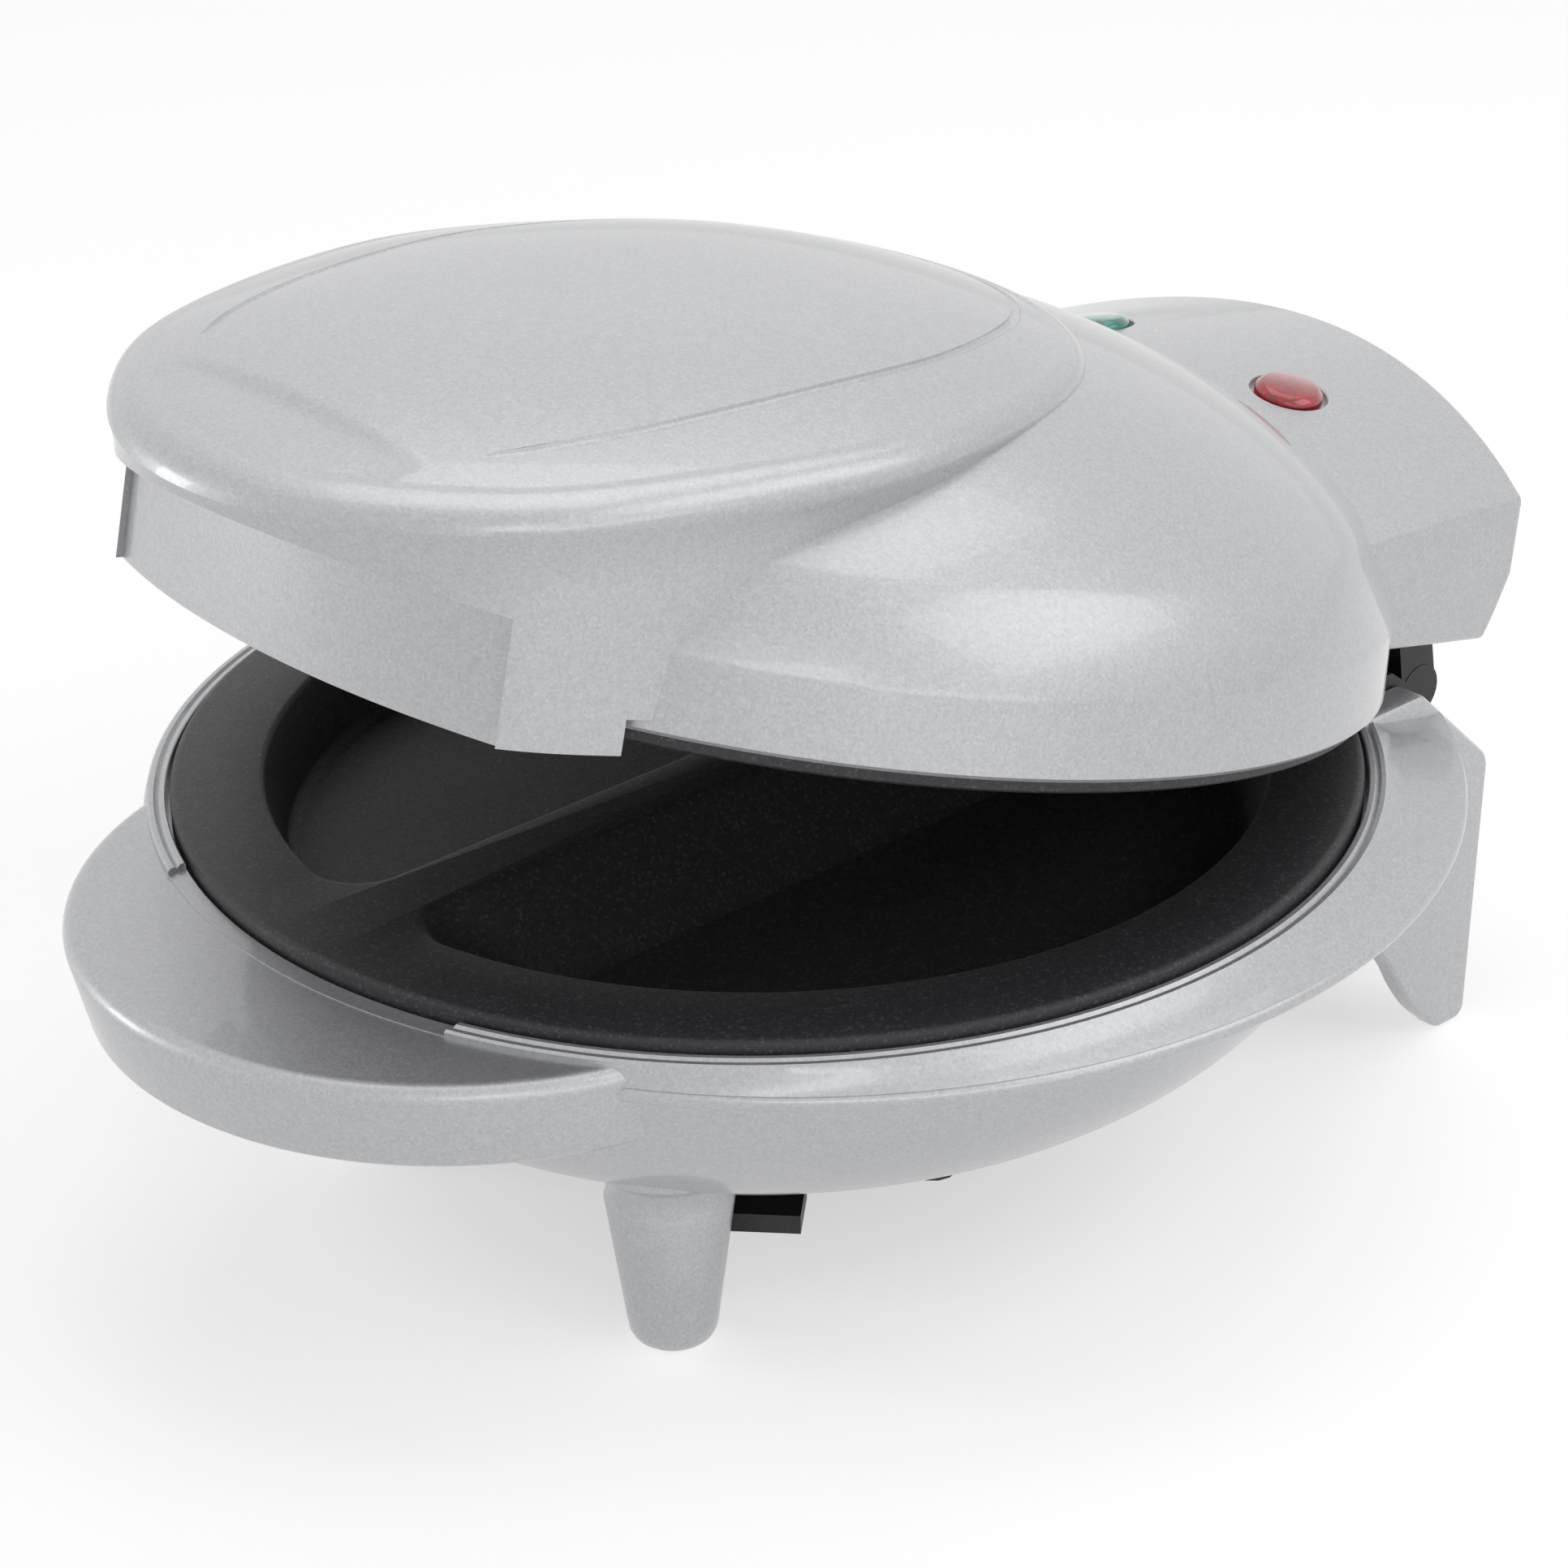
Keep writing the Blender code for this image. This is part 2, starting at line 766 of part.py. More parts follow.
def bracket_outline(grow):
    """The side view of the hinge bracket; grow widens its sunk side for the recess."""
    sunk = bracket_sink + grow
    over = overrun if grow else 0.0
    nose = [(bracket_nose_y - grow, bracket_nose_z + over),
            (bracket_nose_y + bracket_nose_flat, bracket_nose_z + over),
            (bracket_nose_y + bracket_nose_reach, bracket_nose_z - bracket_nose_drop + over)]
    if grow:
        nose = [(bracket_nose_y - grow, bracket_nose_z + over), slope_point(0.0, bracket_proud + over)]
    rest = [slope_point(bracket_length + grow, bracket_proud / 2 + over),
            slope_point(bracket_length + grow, -sunk), slope_point(0.0, -sunk),
            (bracket_nose_y - grow, block_top_z - sunk)]
    return nose + ([] if grow else [slope_point(bracket_nose_run, bracket_proud / 2)]) + rest


def front_lip():
    """The flat grip lip: a drafted disc, hollow below."""
    rings = []
    outer = [(lip_bottom_z, lip_radius - lip_draft)]
    quarter = 4
    for i in range(quarter + 1):
        a = math.pi / 2 * i / quarter
        outer.append((lip_top_z - lip_round + lip_round * math.sin(a),
                      lip_radius - lip_round + lip_round * math.cos(a)))
    for height, radius in outer:
        rings.append([(x, y, height) for x, y in circle_points(radius, 0.0, lip_centre_y)])
    lip = loft("lip_form", rings)
    inner = loft("lip_hollow", [
        [(x, y, height) for x, y in circle_points(radius, 0.0, lip_centre_y, hidden_steps)]
        for height, radius in ((lip_bottom_z - overrun, lip_radius - lip_draft - lip_wall),
                               (lip_top_z - lip_wall, lip_radius - lip_wall))])
    return cut(lip, inner)


def base_leg(side):
    """One front leg, flared where it joins the bowl."""
    place = (side * leg_x, leg_y)
    flare = arc_points((leg_flare_radius, leg_flare_z), (leg_mid_radius, leg_mid_z),
                       -(leg_flare_radius - leg_mid_radius) / 4, 4)
    profile = [(0.0, leg_top_z), (leg_flare_radius, leg_top_z)] + flare
    profile += [(leg_foot_radius, leg_foot_round), (leg_foot_radius - leg_foot_round, 0.0), (0.0, 0.0)]
    return turned(f"leg_form{side:+d}", profile, round_steps // 3, place)


def base_shell(surface, frame):
    """The base moulding: bowl, flange, lip, legs, rear block, fins and inner bosses."""
    rows = [(bowl_opening_radius - overrun, 0.0, bowl_ring_z), (bowl_opening_radius, 0.0, bowl_ring_z),
            ((bowl_opening_radius + bowl_ring_outer) / 2, 0.0, bowl_ring_z + bowl_ring_bead),
            (bowl_ring_outer, 0.0, bowl_ring_z), (flange_radius, flange_centre_y, flange_z),
            (flange_radius + flange_edge / 6, flange_centre_y, flange_z - flange_edge / 2),
            (flange_radius - flange_edge / 3, flange_centre_y, flange_z - flange_edge)]
    rows += [(radius, 0.0, height) for radius, height in bowl_outline()]
    shell = loft("base_shell", [[(x, y, height) for x, y in circle_points(radius, 0.0, centre)]
                                for radius, centre, height in rows])
    flange_gap = box("flange_gap", (-block_half + fine_round, block_front_y, bowl_neck_z),
                     (block_half - fine_round, block_heel_y + flange_radius, block_top_z + overrun))
    ring = cylinder("flange_gap_ring", bowl_ring_outer + fine_round, bowl_neck_z - overrun,
                    block_top_z + 2 * overrun, steps=round_steps)
    cut(flange_gap, ring)
    cut(shell, flange_gap)
    join(shell, front_lip(), rear_block())
    ring_step = box("ring_step", (-lip_step_x, -flange_radius, lip_top_z + seat_gap / 2),
                    (lip_step_x, lip_step_y, bowl_ring_z + overrun))
    cut(shell, ring_step)
    opening = cylinder("plate_opening", bowl_opening_radius, ledge_z, bowl_ring_z + 2 * overrun,
                       steps=round_steps)
    ledge_end = ledge_z - ledge_depth
    inner = [(0.0, bowl_ring_z + overrun), (ledge_radius, bowl_ring_z + overrun), (ledge_radius, ledge_end),
             (bowl_neck_radius - shell_wall, ledge_end - shell_wall)]
    inner += bowl_inner_outline()
    inner += [(cover_ledge_radius, cover_ledge_top), (cover_ledge_radius, bowl_foot_z - 2 * overrun),
              (0.0, bowl_foot_z - 2 * overrun)]
    cover_seat = cylinder("cover_seat", cover_radius + seat_gap, bowl_foot_z - overrun, cover_ledge_z,
                          steps=round_steps)
    cut(shell, opening, turned("bowl_hollow", inner, hidden_steps), cover_seat)
    join(shell, base_leg(-1), base_leg(1))
    for side in (-1, 1):
        cut(shell, cylinder(f"leg_bore{side:+d}", leg_bore_radius, leg_bore_wall, leg_top_z + overrun,
                            (side * leg_x, leg_y)))
    add_base_bosses(shell)
    recess = side_plate("bracket_recess", bracket_outline(seat_gap), -bracket_half - seat_gap,
                        bracket_half + seat_gap)
    clear = cylinder("recess_keep", bowl_ring_outer, 0.0, block_top_z + bracket_nose_z, steps=round_steps)
    cut(recess, clear)
    cut(shell, recess)
    bush_hole = cylinder("bush_hole", bush_radius + seat_gap, -block_wall * 2, block_wall * 2,
                         steps=small_steps * 2)
    bush_hole.data.transform(Matrix.Translation((0.0, block_heel_y, bush_z))
                             @ Matrix.Rotation(math.pi / 2, 4, "X"))
    wire_hole = cylinder("wire_hole", wire_hole_radius, -block_wall * 3, block_wall * 3)
    wire_place = (0.0, bowl_neck_radius - block_wall, bush_z + bush_radius * 2)
    wire_hole.data.transform(Matrix.Translation(wire_place)
                             @ Matrix.Rotation(math.pi / 2, 4, "X"))
    cut(shell, bush_hole, wire_hole)
    return finish_piece(shell, frame, surface)


def add_base_bosses(shell):
    """Bosses for the plate screws, the cover screws and the rear cover's screws."""
    for side in (-1, 1):
        place = (side * rear_cover_screw_x, rear_cover_screw_y)
        join(shell, cylinder(f"rear_boss{side:+d}", cover_boss_radius, block_under_z + fine_round,
                             block_under_z + cover_boss_height, place))
        cut(shell, cylinder(f"rear_boss_bore{side:+d}", screw_bore, block_under_z - overrun,
                            block_under_z + cover_boss_height - shell_wall / 2, place, bore_steps))
        cut(shell, on_slope(cylinder(f"bracket_bore{side:+d}_shell", screw_bore, -screw_length,
                                     screw_length, steps=bore_steps), side))
    for i, place in enumerate(quarter_places(post_circle_radius)):
        boss = cylinder(f"plate_boss{i}", plate_boss_radius, cover_ledge_z + fine_round, boss_top_z, place)
        along = Vector(place).normalized()
        rib = box(f"plate_boss_rib{i}",
                  (post_circle_radius, -shell_wall / 2, cover_ledge_z + 2 * fine_round),
                  (bowl_foot_radius + shell_wall * 2, shell_wall / 2, boss_top_z - shell_wall))
        rib.data.transform(Matrix.Rotation(math.atan2(along.y, along.x), 4, "Z"))
        join(shell, boss, rib)
        bore = cylinder(f"plate_boss_bore{i}", screw_bore, cover_ledge_z - overrun, boss_top_z + overrun,
                        place, bore_steps)
        well = cylinder(f"plate_boss_well{i}", screw_head + seat_gap, cover_ledge_z - overrun,
                        boss_top_z - shell_wall, place)
        cut(shell, bore, well)
    for i, place in enumerate(cover_screw_places()):
        boss = cylinder(f"cover_boss{i}", cover_boss_radius, cover_ledge_z + fine_round,
                        cover_ledge_z + cover_boss_height, place)
        join(shell, boss)
        bore = cylinder(f"cover_boss_bore{i}", screw_bore, cover_ledge_z - overrun,
                        cover_ledge_z + cover_boss_height - shell_wall / 2, place, bore_steps)
        cut(shell, bore)


def lower_plate(surface, frame):
    """The lower plate with four posts for the screws from the base bosses."""
    piece = cooking_plate("lower_plate", plate_radius, plate_top_z, plate_rim_height, pocket_depth,
                          1, surface, frame)
    for i, place in enumerate(quarter_places(post_circle_radius)):
        post = cylinder(f"lower_plate_post{i}", post_radius, boss_top_z + seat_gap,
                        plate_bottom_z + fine_round, place)
        join(piece, post)
        bore = cylinder(f"lower_plate_bore{i}", screw_bore, boss_top_z - overrun,
                        plate_bottom_z, place, bore_steps)
        cut(piece, bore)
    return finish_piece(piece, frame, surface)


def upper_plate(surface, frame):
    """The upper plate: held by two rear lugs and a front tongue in the lid."""
    rim = upper_rim_top_z - upper_face_z
    piece = cooking_plate("upper_plate", upper_plate_radius, upper_face_z, rim, upper_pocket_depth,
                          -1, surface, frame)
    for side in (-1, 1):
        lug = outline_plate(f"upper_plate_lug{side:+d}",
                            rounded_outline(lug_outline(side), post_radius / 2),
                            lug_low_z, lug_low_z + lug_thickness)
        join(piece, lug)
        hole = cylinder(f"upper_plate_lug_hole{side:+d}", screw_bore + seat_gap, lug_low_z - overrun,
                        lug_low_z + lug_thickness + overrun,
                        (side * inner_cover_screw_x, inner_cover_screw_y))
        cut(piece, hole)
    tongue = box("upper_plate_tongue", (-lug_half, -lid_radius - tongue_reach, lug_low_z),
                 (lug_half, -plate_body_radius + post_radius, lug_low_z + lug_thickness))
    join(piece, tongue)
    return finish_piece(piece, frame, surface)


def lug_outline(side):
    """The plan of one rear lug of the upper plate, from the plate's body to its screw."""
    left, right = side * inner_cover_screw_x - lug_half, side * inner_cover_screw_x + lug_half
    front = math.sqrt(plate_body_radius ** 2 - (inner_cover_screw_x + lug_half) ** 2) - post_radius
    rear = inner_cover_screw_y + lug_half
    return [(left, front), (right, front), (right, rear), (left, rear)]


def heater(name, back_z, surface, frame):
    """A bent heating tube that lies half sunk in the back of its plate."""
    return finish_piece(tube(name, heater_path(back_z), heater_tube_radius), frame, surface)


def thermostat(surface, frame):
    """The disc thermostat under the middle of the lower plate, with two blade contacts."""
    top = plate_bottom_z - seat_gap
    step = thermostat_height / 3
    profile = [(0.0, top), (thermostat_radius, top), (thermostat_radius, top - step),
               (thermostat_radius * 0.8, top - step), (thermostat_radius * 0.8, top - thermostat_height),
               (0.0, top - thermostat_height)]
    piece = turned("thermostat", profile, small_steps * 2)
    for side in (-1, 1):
        x = side * thermostat_radius / 2
        blade = box(f"thermostat_blade{side:+d}",
                    (x - fine_round, -step, top - thermostat_height - step),
                    (x + fine_round, step, top - thermostat_height + fine_round))
        join(piece, blade)
    return finish_piece(piece, frame, surface)


def thermal_fuse(surface, frame):
    """The fuse that lies across the back of the upper plate."""
    centre = (-heater_loop_radius / 4, upper_back_z + fuse_radius + seat_gap)
    piece = cross_bar("thermal_fuse", fuse_radius, -fuse_length / 2, fuse_length / 2, centre)
    lead = cross_bar("thermal_fuse_lead", fuse_radius / 3, -fuse_length, fuse_length, centre, 8)
    return finish_piece(join(piece, lead), frame, surface)


def bottom_cover(surface, frame):
    """The round bottom dish, notched round the legs, with four cord hooks."""
    profile = [(0.0, cover_floor_z + cover_wall), (cover_floor_radius - cover_wall / 2,
               cover_floor_z + cover_wall), (cover_radius - cover_wall, cover_rim_top),
               (cover_radius, cover_rim_top), (cover_radius, cover_rim_z),
               (cover_floor_radius, cover_floor_z), (0.0, cover_floor_z)]
    piece = turned("bottom_cover", profile)
    for i, place in enumerate(cover_screw_places()):
        join(piece, cylinder(f"cover_post{i}", cover_boss_radius, cover_floor_z + fine_round,
                             cover_rim_top, place))
        cut(piece, cylinder(f"cover_post_bore{i}", screw_bore, cover_floor_z - overrun,
                            cover_rim_top + overrun, place, bore_steps))
        cut(piece, cylinder(f"cover_post_well{i}", screw_head + seat_gap, cover_floor_z - overrun,
                            cover_floor_z + screw_head_height, place))
    for i, (side, end) in enumerate(((1, -1), (-1, -1), (-1, 1), (1, 1))):
        join(piece, cord_hook(f"cord_hook{i}", side, end))
    for side in (-1, 1):
        notch = cylinder(f"leg_notch{side:+d}", leg_flare_radius + leg_notch_gap, cover_floor_z - overrun,
                         cover_rim_top + overrun, (side * leg_x, leg_y), round_steps // 2)
        cut(piece, notch)
    return finish_piece(piece, frame, surface)


def cord_hook(name, side, end):
    """An L-shaped hook under the bottom cover, open to the outside."""
    inner = hook_stem_radius - hook_thickness
    high = hook_bottom_z + hook_thickness
    root = cover_floor_z + cover_wall / 2
    profile = [(inner, root), (inner, hook_bottom_z), (hook_reach, hook_bottom_z), (hook_reach, high),
               (hook_stem_radius, high), (hook_stem_radius, root)]
    hook = side_plate(name, profile, -hook_width / 2, hook_width / 2)
    turn = math.atan2(end * math.sin(hook_angle), side * math.cos(hook_angle)) - math.pi / 2
    hook.data.transform(Matrix.Rotation(turn, 4, "Z"))
    return hook


def rear_cover(surface, frame):
    """The flat cover that closes the rear block from below, between the fins."""
    half = block_half - fin_thickness - seat_gap
    front = block_hollow_y - rear_cover_lap
    rear = block_heel_y - rear_cover_lap
    top = block_under_z - seat_gap
    plan = [(-half, front), (half, front), (half, rear), (-half, rear)]
    piece = outline_plate("rear_cover", plan, top - cover_wall, top)
    for side in (-1, 1):
        place = (side * rear_cover_screw_x, rear_cover_screw_y)
        cut(piece, cylinder(f"rear_cover_bore{side:+d}", screw_bore, top - cover_wall - overrun,
                            top + overrun, place, bore_steps))
    return finish_piece(piece, frame, surface)


def cord_bush(surface, frame):
    """The bush in the rear wall where the supply lead would enter."""
    rear = block_heel_y
    reach = block_wall
    profile = [(bush_radius * 1.3, reach), (bush_radius * 1.3, reach / 2), (bush_radius, reach / 2),
               (bush_radius, -reach), (bush_bore_radius, -reach), (bush_bore_radius, reach)]
    piece = turned("cord_bush", profile, small_steps * 2)
    piece.rotation_euler = (-math.pi / 2, 0.0, 0.0)
    piece.location = (0.0, rear, bush_z)
    return finish_piece(piece, frame, surface)


def hinge_lug(name, low, high, base):
    """A knuckle round the hinge axis on a leg that ends at the two base points."""
    eye = cross_bar(name, knuckle_radius, low, high, (hinge_y, hinge_z), small_steps * 2)
    first, last = Vector(base[0]), Vector(base[1])
    along = (last - first).normalized() * knuckle_radius * 0.97
    axis = Vector((hinge_y, hinge_z))
    leg = side_plate(name + "_leg", [tuple(first), tuple(last), tuple(axis + along), tuple(axis - along)],
                     low + seat_gap / 3, high - seat_gap / 3)
    return join(eye, leg)


def hinge_bracket(surface, frame):
    """The black bracket on the rear slope whose arms hold the two hinge pins."""
    piece = side_plate("hinge_bracket", bracket_outline(0.0), -bracket_half, bracket_half)
    keep = cylinder("bracket_front", bowl_ring_outer + seat_gap, 0.0, block_top_z + bracket_nose_z,
                    steps=round_steps)
    cut(piece, keep)
    foot = (Vector((hinge_y, hinge_z)) - Vector(slope_point(0.0, 0.0))).dot(
        Vector(slope_point(1.0, 0.0)) - Vector(slope_point(0.0, 0.0)))
    for side in (-1, 1):
        ends = sorted((side * arm_inner_x, side * arm_outer_x))
        base = (slope_point(foot - knuckle_radius * 1.5, -bracket_sink / 2),
                slope_point(foot + knuckle_radius * 1.2, -bracket_sink / 2))
        join(piece, hinge_lug(f"bracket_arm{side:+d}", *ends, base))
        bore = cross_bar(f"bracket_bore{side:+d}", pin_radius + seat_gap, ends[0] - overrun / 2,
                         ends[1] + overrun / 2, (hinge_y, hinge_z))
        cut(piece, bore)
        ear = sorted((side * (ear_inner_x - knuckle_room), side * (ear_outer_x + knuckle_room)))
        room = box(f"bracket_notch{side:+d}", (ear[0], hinge_y - knuckle_radius - 2 * knuckle_room, 0.0),
                   (ear[1], block_heel_y + overrun, hinge_z + knuckle_radius))
        cut(piece, room)
        cut(piece, on_slope(cylinder(f"bracket_screw_bore{side:+d}", screw_bore, -screw_length,
                                     screw_length, steps=bore_steps), side))
        cut(piece, on_slope(cylinder(f"bracket_screw_well{side:+d}", screw_head + seat_gap, 0.0,
                                     screw_length), side))
    return finish_piece(piece, frame, surface)


def on_slope(piece, side):
    """Turn a cutter made round Z at the origin so that it stands on the slope at a bracket screw."""
    y, z = slope_point(bracket_screw_along, bracket_screw_seat)
    piece.data.transform(Matrix.Translation((side * bracket_screw_x, y, z))
                         @ Matrix.Rotation(-slope_lean, 4, "X"))
    return piece


def hinge_pin(name, side, surface, frame):
    """A plain pin, pushed outwards through the base arm into the lid's ear."""
    ends = sorted((side * pin_inner_x, side * pin_outer_x))
    return finish_piece(cross_bar(name, pin_radius, *ends, (hinge_y, hinge_z)), frame, surface)


# Shares of the egg-shaped outline: half widths, and distances back from the front tip
egg_outline_shares = [(0.281, 0.010), (0.545, 0.073), (0.711, 0.135), (0.793, 0.175), (0.901, 0.281),
                      (0.992, 0.436), (1.000, 0.519), (0.980, 0.598), (0.826, 0.790), (0.661, 0.876),
                      (0.413, 0.955)]
egg_crown_shares = [0.78, 0.45, 0.08]


def egg_outline(half_width, front_y, length, detail):
    """The plan of the lid's top, wide to the rear and blunt over the handle."""
    right = [(half_width * x, front_y + length * y) for x, y in egg_outline_shares]
    corners = [(0.0, front_y)] + right + [(0.0, front_y + length)]
    corners += [(-x, y) for x, y in reversed(right)]
    return spline_points(corners, detail)


def egg_edge_level(y):
    """Height of the egg's edge, which falls and bows towards the front."""
    away = (y - egg_level_y) / (egg_length / 2)
    return egg_edge_z + egg_edge_tilt * (y - egg_level_y) - egg_edge_sag * away * away


def egg_body(name, inset, front_y, bottom_z):
    """The egg column with its crowned top on a slightly flared rim; inset makes the hollow inside it."""
    half_width = egg_half_width - inset
    length = egg_front_y + egg_length - inset - front_y
    outline = egg_outline(half_width, front_y, length, 1 if inset else egg_steps)
    middle_y = front_y + length * egg_widest_share

    def ring(share, rise):
        points = []
        for x, y in outline:
            near_y = middle_y + (y - middle_y) * share
            points.append((x * share, near_y, egg_edge_level(near_y) + rise - inset))
        return points

    rings = [[(x, y, bottom_z) for x, y in outline]]
    rim = 1.0
    if not inset:
        rim += egg_flare / half_width
        rings.append(ring(1.0, -egg_edge_round - egg_flare_depth))
    quarter = 3
    for i in range(quarter + 1):
        a = math.pi / 2 * i / quarter
        share = rim - egg_edge_round * (1 - math.cos(a)) / half_width
        rings.append(ring(share, egg_edge_round * (math.sin(a) - 1)))
    for crown_share in egg_crown_shares:
        bow = (crown_share / share) ** egg_crown_fullness
        rings.append(ring(crown_share, egg_crown * (1 - bow)))
    return loft(name, rings)


def grip_recess():
    """The recess in the handle's front, with a slightly bowed panel and a sloped roof."""
    bow = grip_end_y - grip_front_y
    panel = arc_points((grip_half_width, grip_end_y), (-grip_half_width, grip_end_y), bow, 8)
    outline = [(-grip_half_width, egg_front_y * 1.1), (grip_half_width, egg_front_y * 1.1)] + panel
    slope = (grip_roof_front_z - grip_roof_back_z) / (grip_end_y - egg_front_y)
    low = [(x, y, handle_bottom_z - overrun) for x, y in outline]
    high = [(x, y, grip_roof_back_z + slope * (grip_end_y - y)) for x, y in outline]
    return loft("grip_recess", [low, high])


def dome_curve(radius, height, steps=dome_steps):
    """The dome from its crown down to the band, as radius and height."""
    base = rim_plane_z + band_height
    points = []
    for i in range(steps + 1):
        share = math.sin(math.pi / 2 * i / steps)
        points.append((radius * share, base + height * (1 - share ** dome_fullness) ** dome_shoulder))
    return points


def housing_section(x, inset):
    """The side view of the rear housing at one place across it."""
    share = x / housing_half
    rear = housing_mid_y - (housing_mid_y - housing_side_y) * share * share - inset
    bottom = rim_plane_z + seat_gap - (overrun if inset else 0.0)

    def top(y):
        return housing_top_z + housing_top_tilt * y - housing_top_sag * share * share - inset

    front = housing_front_y + inset
    return [(front, bottom), (rear - housing_foot_inset, bottom),
            (rear - housing_foot_inset / 3, rim_plane_z + housing_heel * 0.4),
            (rear + housing_bulge, rim_plane_z + housing_heel), (rear, top(rear)), (front, top(front))]


def housing_body(name, inset):
    """The rear housing, or the hollow inside it, as a loft across the lid."""
    half = housing_half - inset
    stations = housing_stations // 2 if inset else housing_stations
    rings = []
    for i in range(stations + 1):
        x = -half + 2 * half * i / stations
        rings.append([(x, y, z) for y, z in housing_section(x, inset)])
    return loft(name, rings)


def housing_top(x, y):
    """Height of the housing's outer top."""
    share = x / housing_half
    return housing_top_z + housing_top_tilt * y - housing_top_sag * share * share


def top_tilt(side):
    """Rotation that lays a lamp on the housing's curved top."""
    fall = 2 * housing_top_sag * lamp_x / housing_half ** 2
    normal = Vector((side * fall, -housing_top_tilt, 1.0))
    return normal.to_track_quat("Z", "Y")


def lamp_place(side):
    """The middle of a lamp on the housing's top."""
    return Vector((side * lamp_x, lamp_y, housing_top(lamp_x, lamp_y)))


def lid_shell(surface, frame):
    """The lid moulding: band, dome, egg-shaped top with its handle, and rear housing."""
    outer = dome_curve(lid_radius - band_draft, dome_height)
    outer += [(lid_radius, rim_plane_z), (0.0, rim_plane_z)]
    shell = turned("lid_shell", outer)
    egg = egg_body("egg_form", 0.0, egg_front_y, handle_bottom_z)
    under = cylinder("handle_clearance", handle_clearance_radius, handle_bottom_z - overrun,
                     rim_plane_z + overrun, steps=round_steps)
    cut(egg, grip_recess(), under)
    housing = rounded(housing_body("housing_form", 0.0), housing_round / 2, 2, math.radians(50))
    join(shell, egg, housing)
    hollow = housing_body("housing_hollow", housing_wall)
    band_top = rim_plane_z + band_height
    cut(hollow, cylinder("band_keep", lid_radius + fine_round / 4, 0.0, band_top, steps=round_steps))
    cut(shell, hollow)
    inner_radius = lid_radius - band_draft - dome_wall * 1.2
    seat_z = rim_plane_z + lid_seat_depth
    inner = dome_curve(inner_radius, dome_height - dome_wall, dome_steps // 2)
    inner += [(inner_radius, rim_plane_z - 2 * overrun), (0.0, rim_plane_z - 2 * overrun)]
    seat = cylinder("upper_plate_seat", upper_plate_radius + seat_gap, rim_plane_z - overrun, seat_z,
                    steps=round_steps)
    cut(shell, turned("dome_hollow", inner, hidden_steps), seat)
    egg_hollow_front = grip_front_y + dome_wall * 1.5
    cut(shell, egg_body("egg_hollow", dome_wall, egg_hollow_front, rim_plane_z + band_height / 2))
    add_lid_details(shell)
    return finish_piece(shell, frame, surface)


def add_lid_details(shell):
    """Bosses, lug notches, the tongue's slot and the lamp holes of the lid."""
    for side in (-1, 1):
        place = (side * inner_cover_screw_x, inner_cover_screw_y)
        boss_low = lug_low_z + lug_thickness + seat_gap
        boss_high = housing_top(*place) - housing_wall / 2
        join(shell, cylinder(f"lug_boss{side:+d}", cover_boss_radius, boss_low, boss_high, place))
        cut(shell, cylinder(f"lug_boss_bore{side:+d}", screw_bore, boss_low - overrun,
                            boss_low + screw_length, place, bore_steps))
        notch = box(f"lug_notch{side:+d}",
                    (place[0] - lug_half - seat_gap, lid_radius * 0.8, lug_low_z - seat_gap),
                    (place[0] + lug_half + seat_gap, lid_radius + seat_gap,
                     lug_low_z + lug_thickness + seat_gap))
        cut(shell, notch)
        hole_radius = lens_stem_radius + seat_gap
        hole = turned(f"lens_hole{side:+d}", [(0.0, overrun), (lens_recess_radius, overrun),
                      (lens_recess_radius, -lens_recess), (hole_radius, -lens_recess),
                      (hole_radius, -housing_wall * 2), (0.0, -housing_wall * 2)], hidden_steps)
        hole.rotation_mode = "QUATERNION"
        hole.rotation_quaternion = top_tilt(side)
        hole.location = lamp_place(side)
        cut(shell, hole)
    slot = box("tongue_slot",
               (-lug_half - seat_gap, -lid_radius - tongue_reach - seat_gap, lug_low_z - seat_gap),
               (lug_half + seat_gap, -lid_radius * 0.8, lug_low_z + lug_thickness + seat_gap))
    cut(shell, slot)


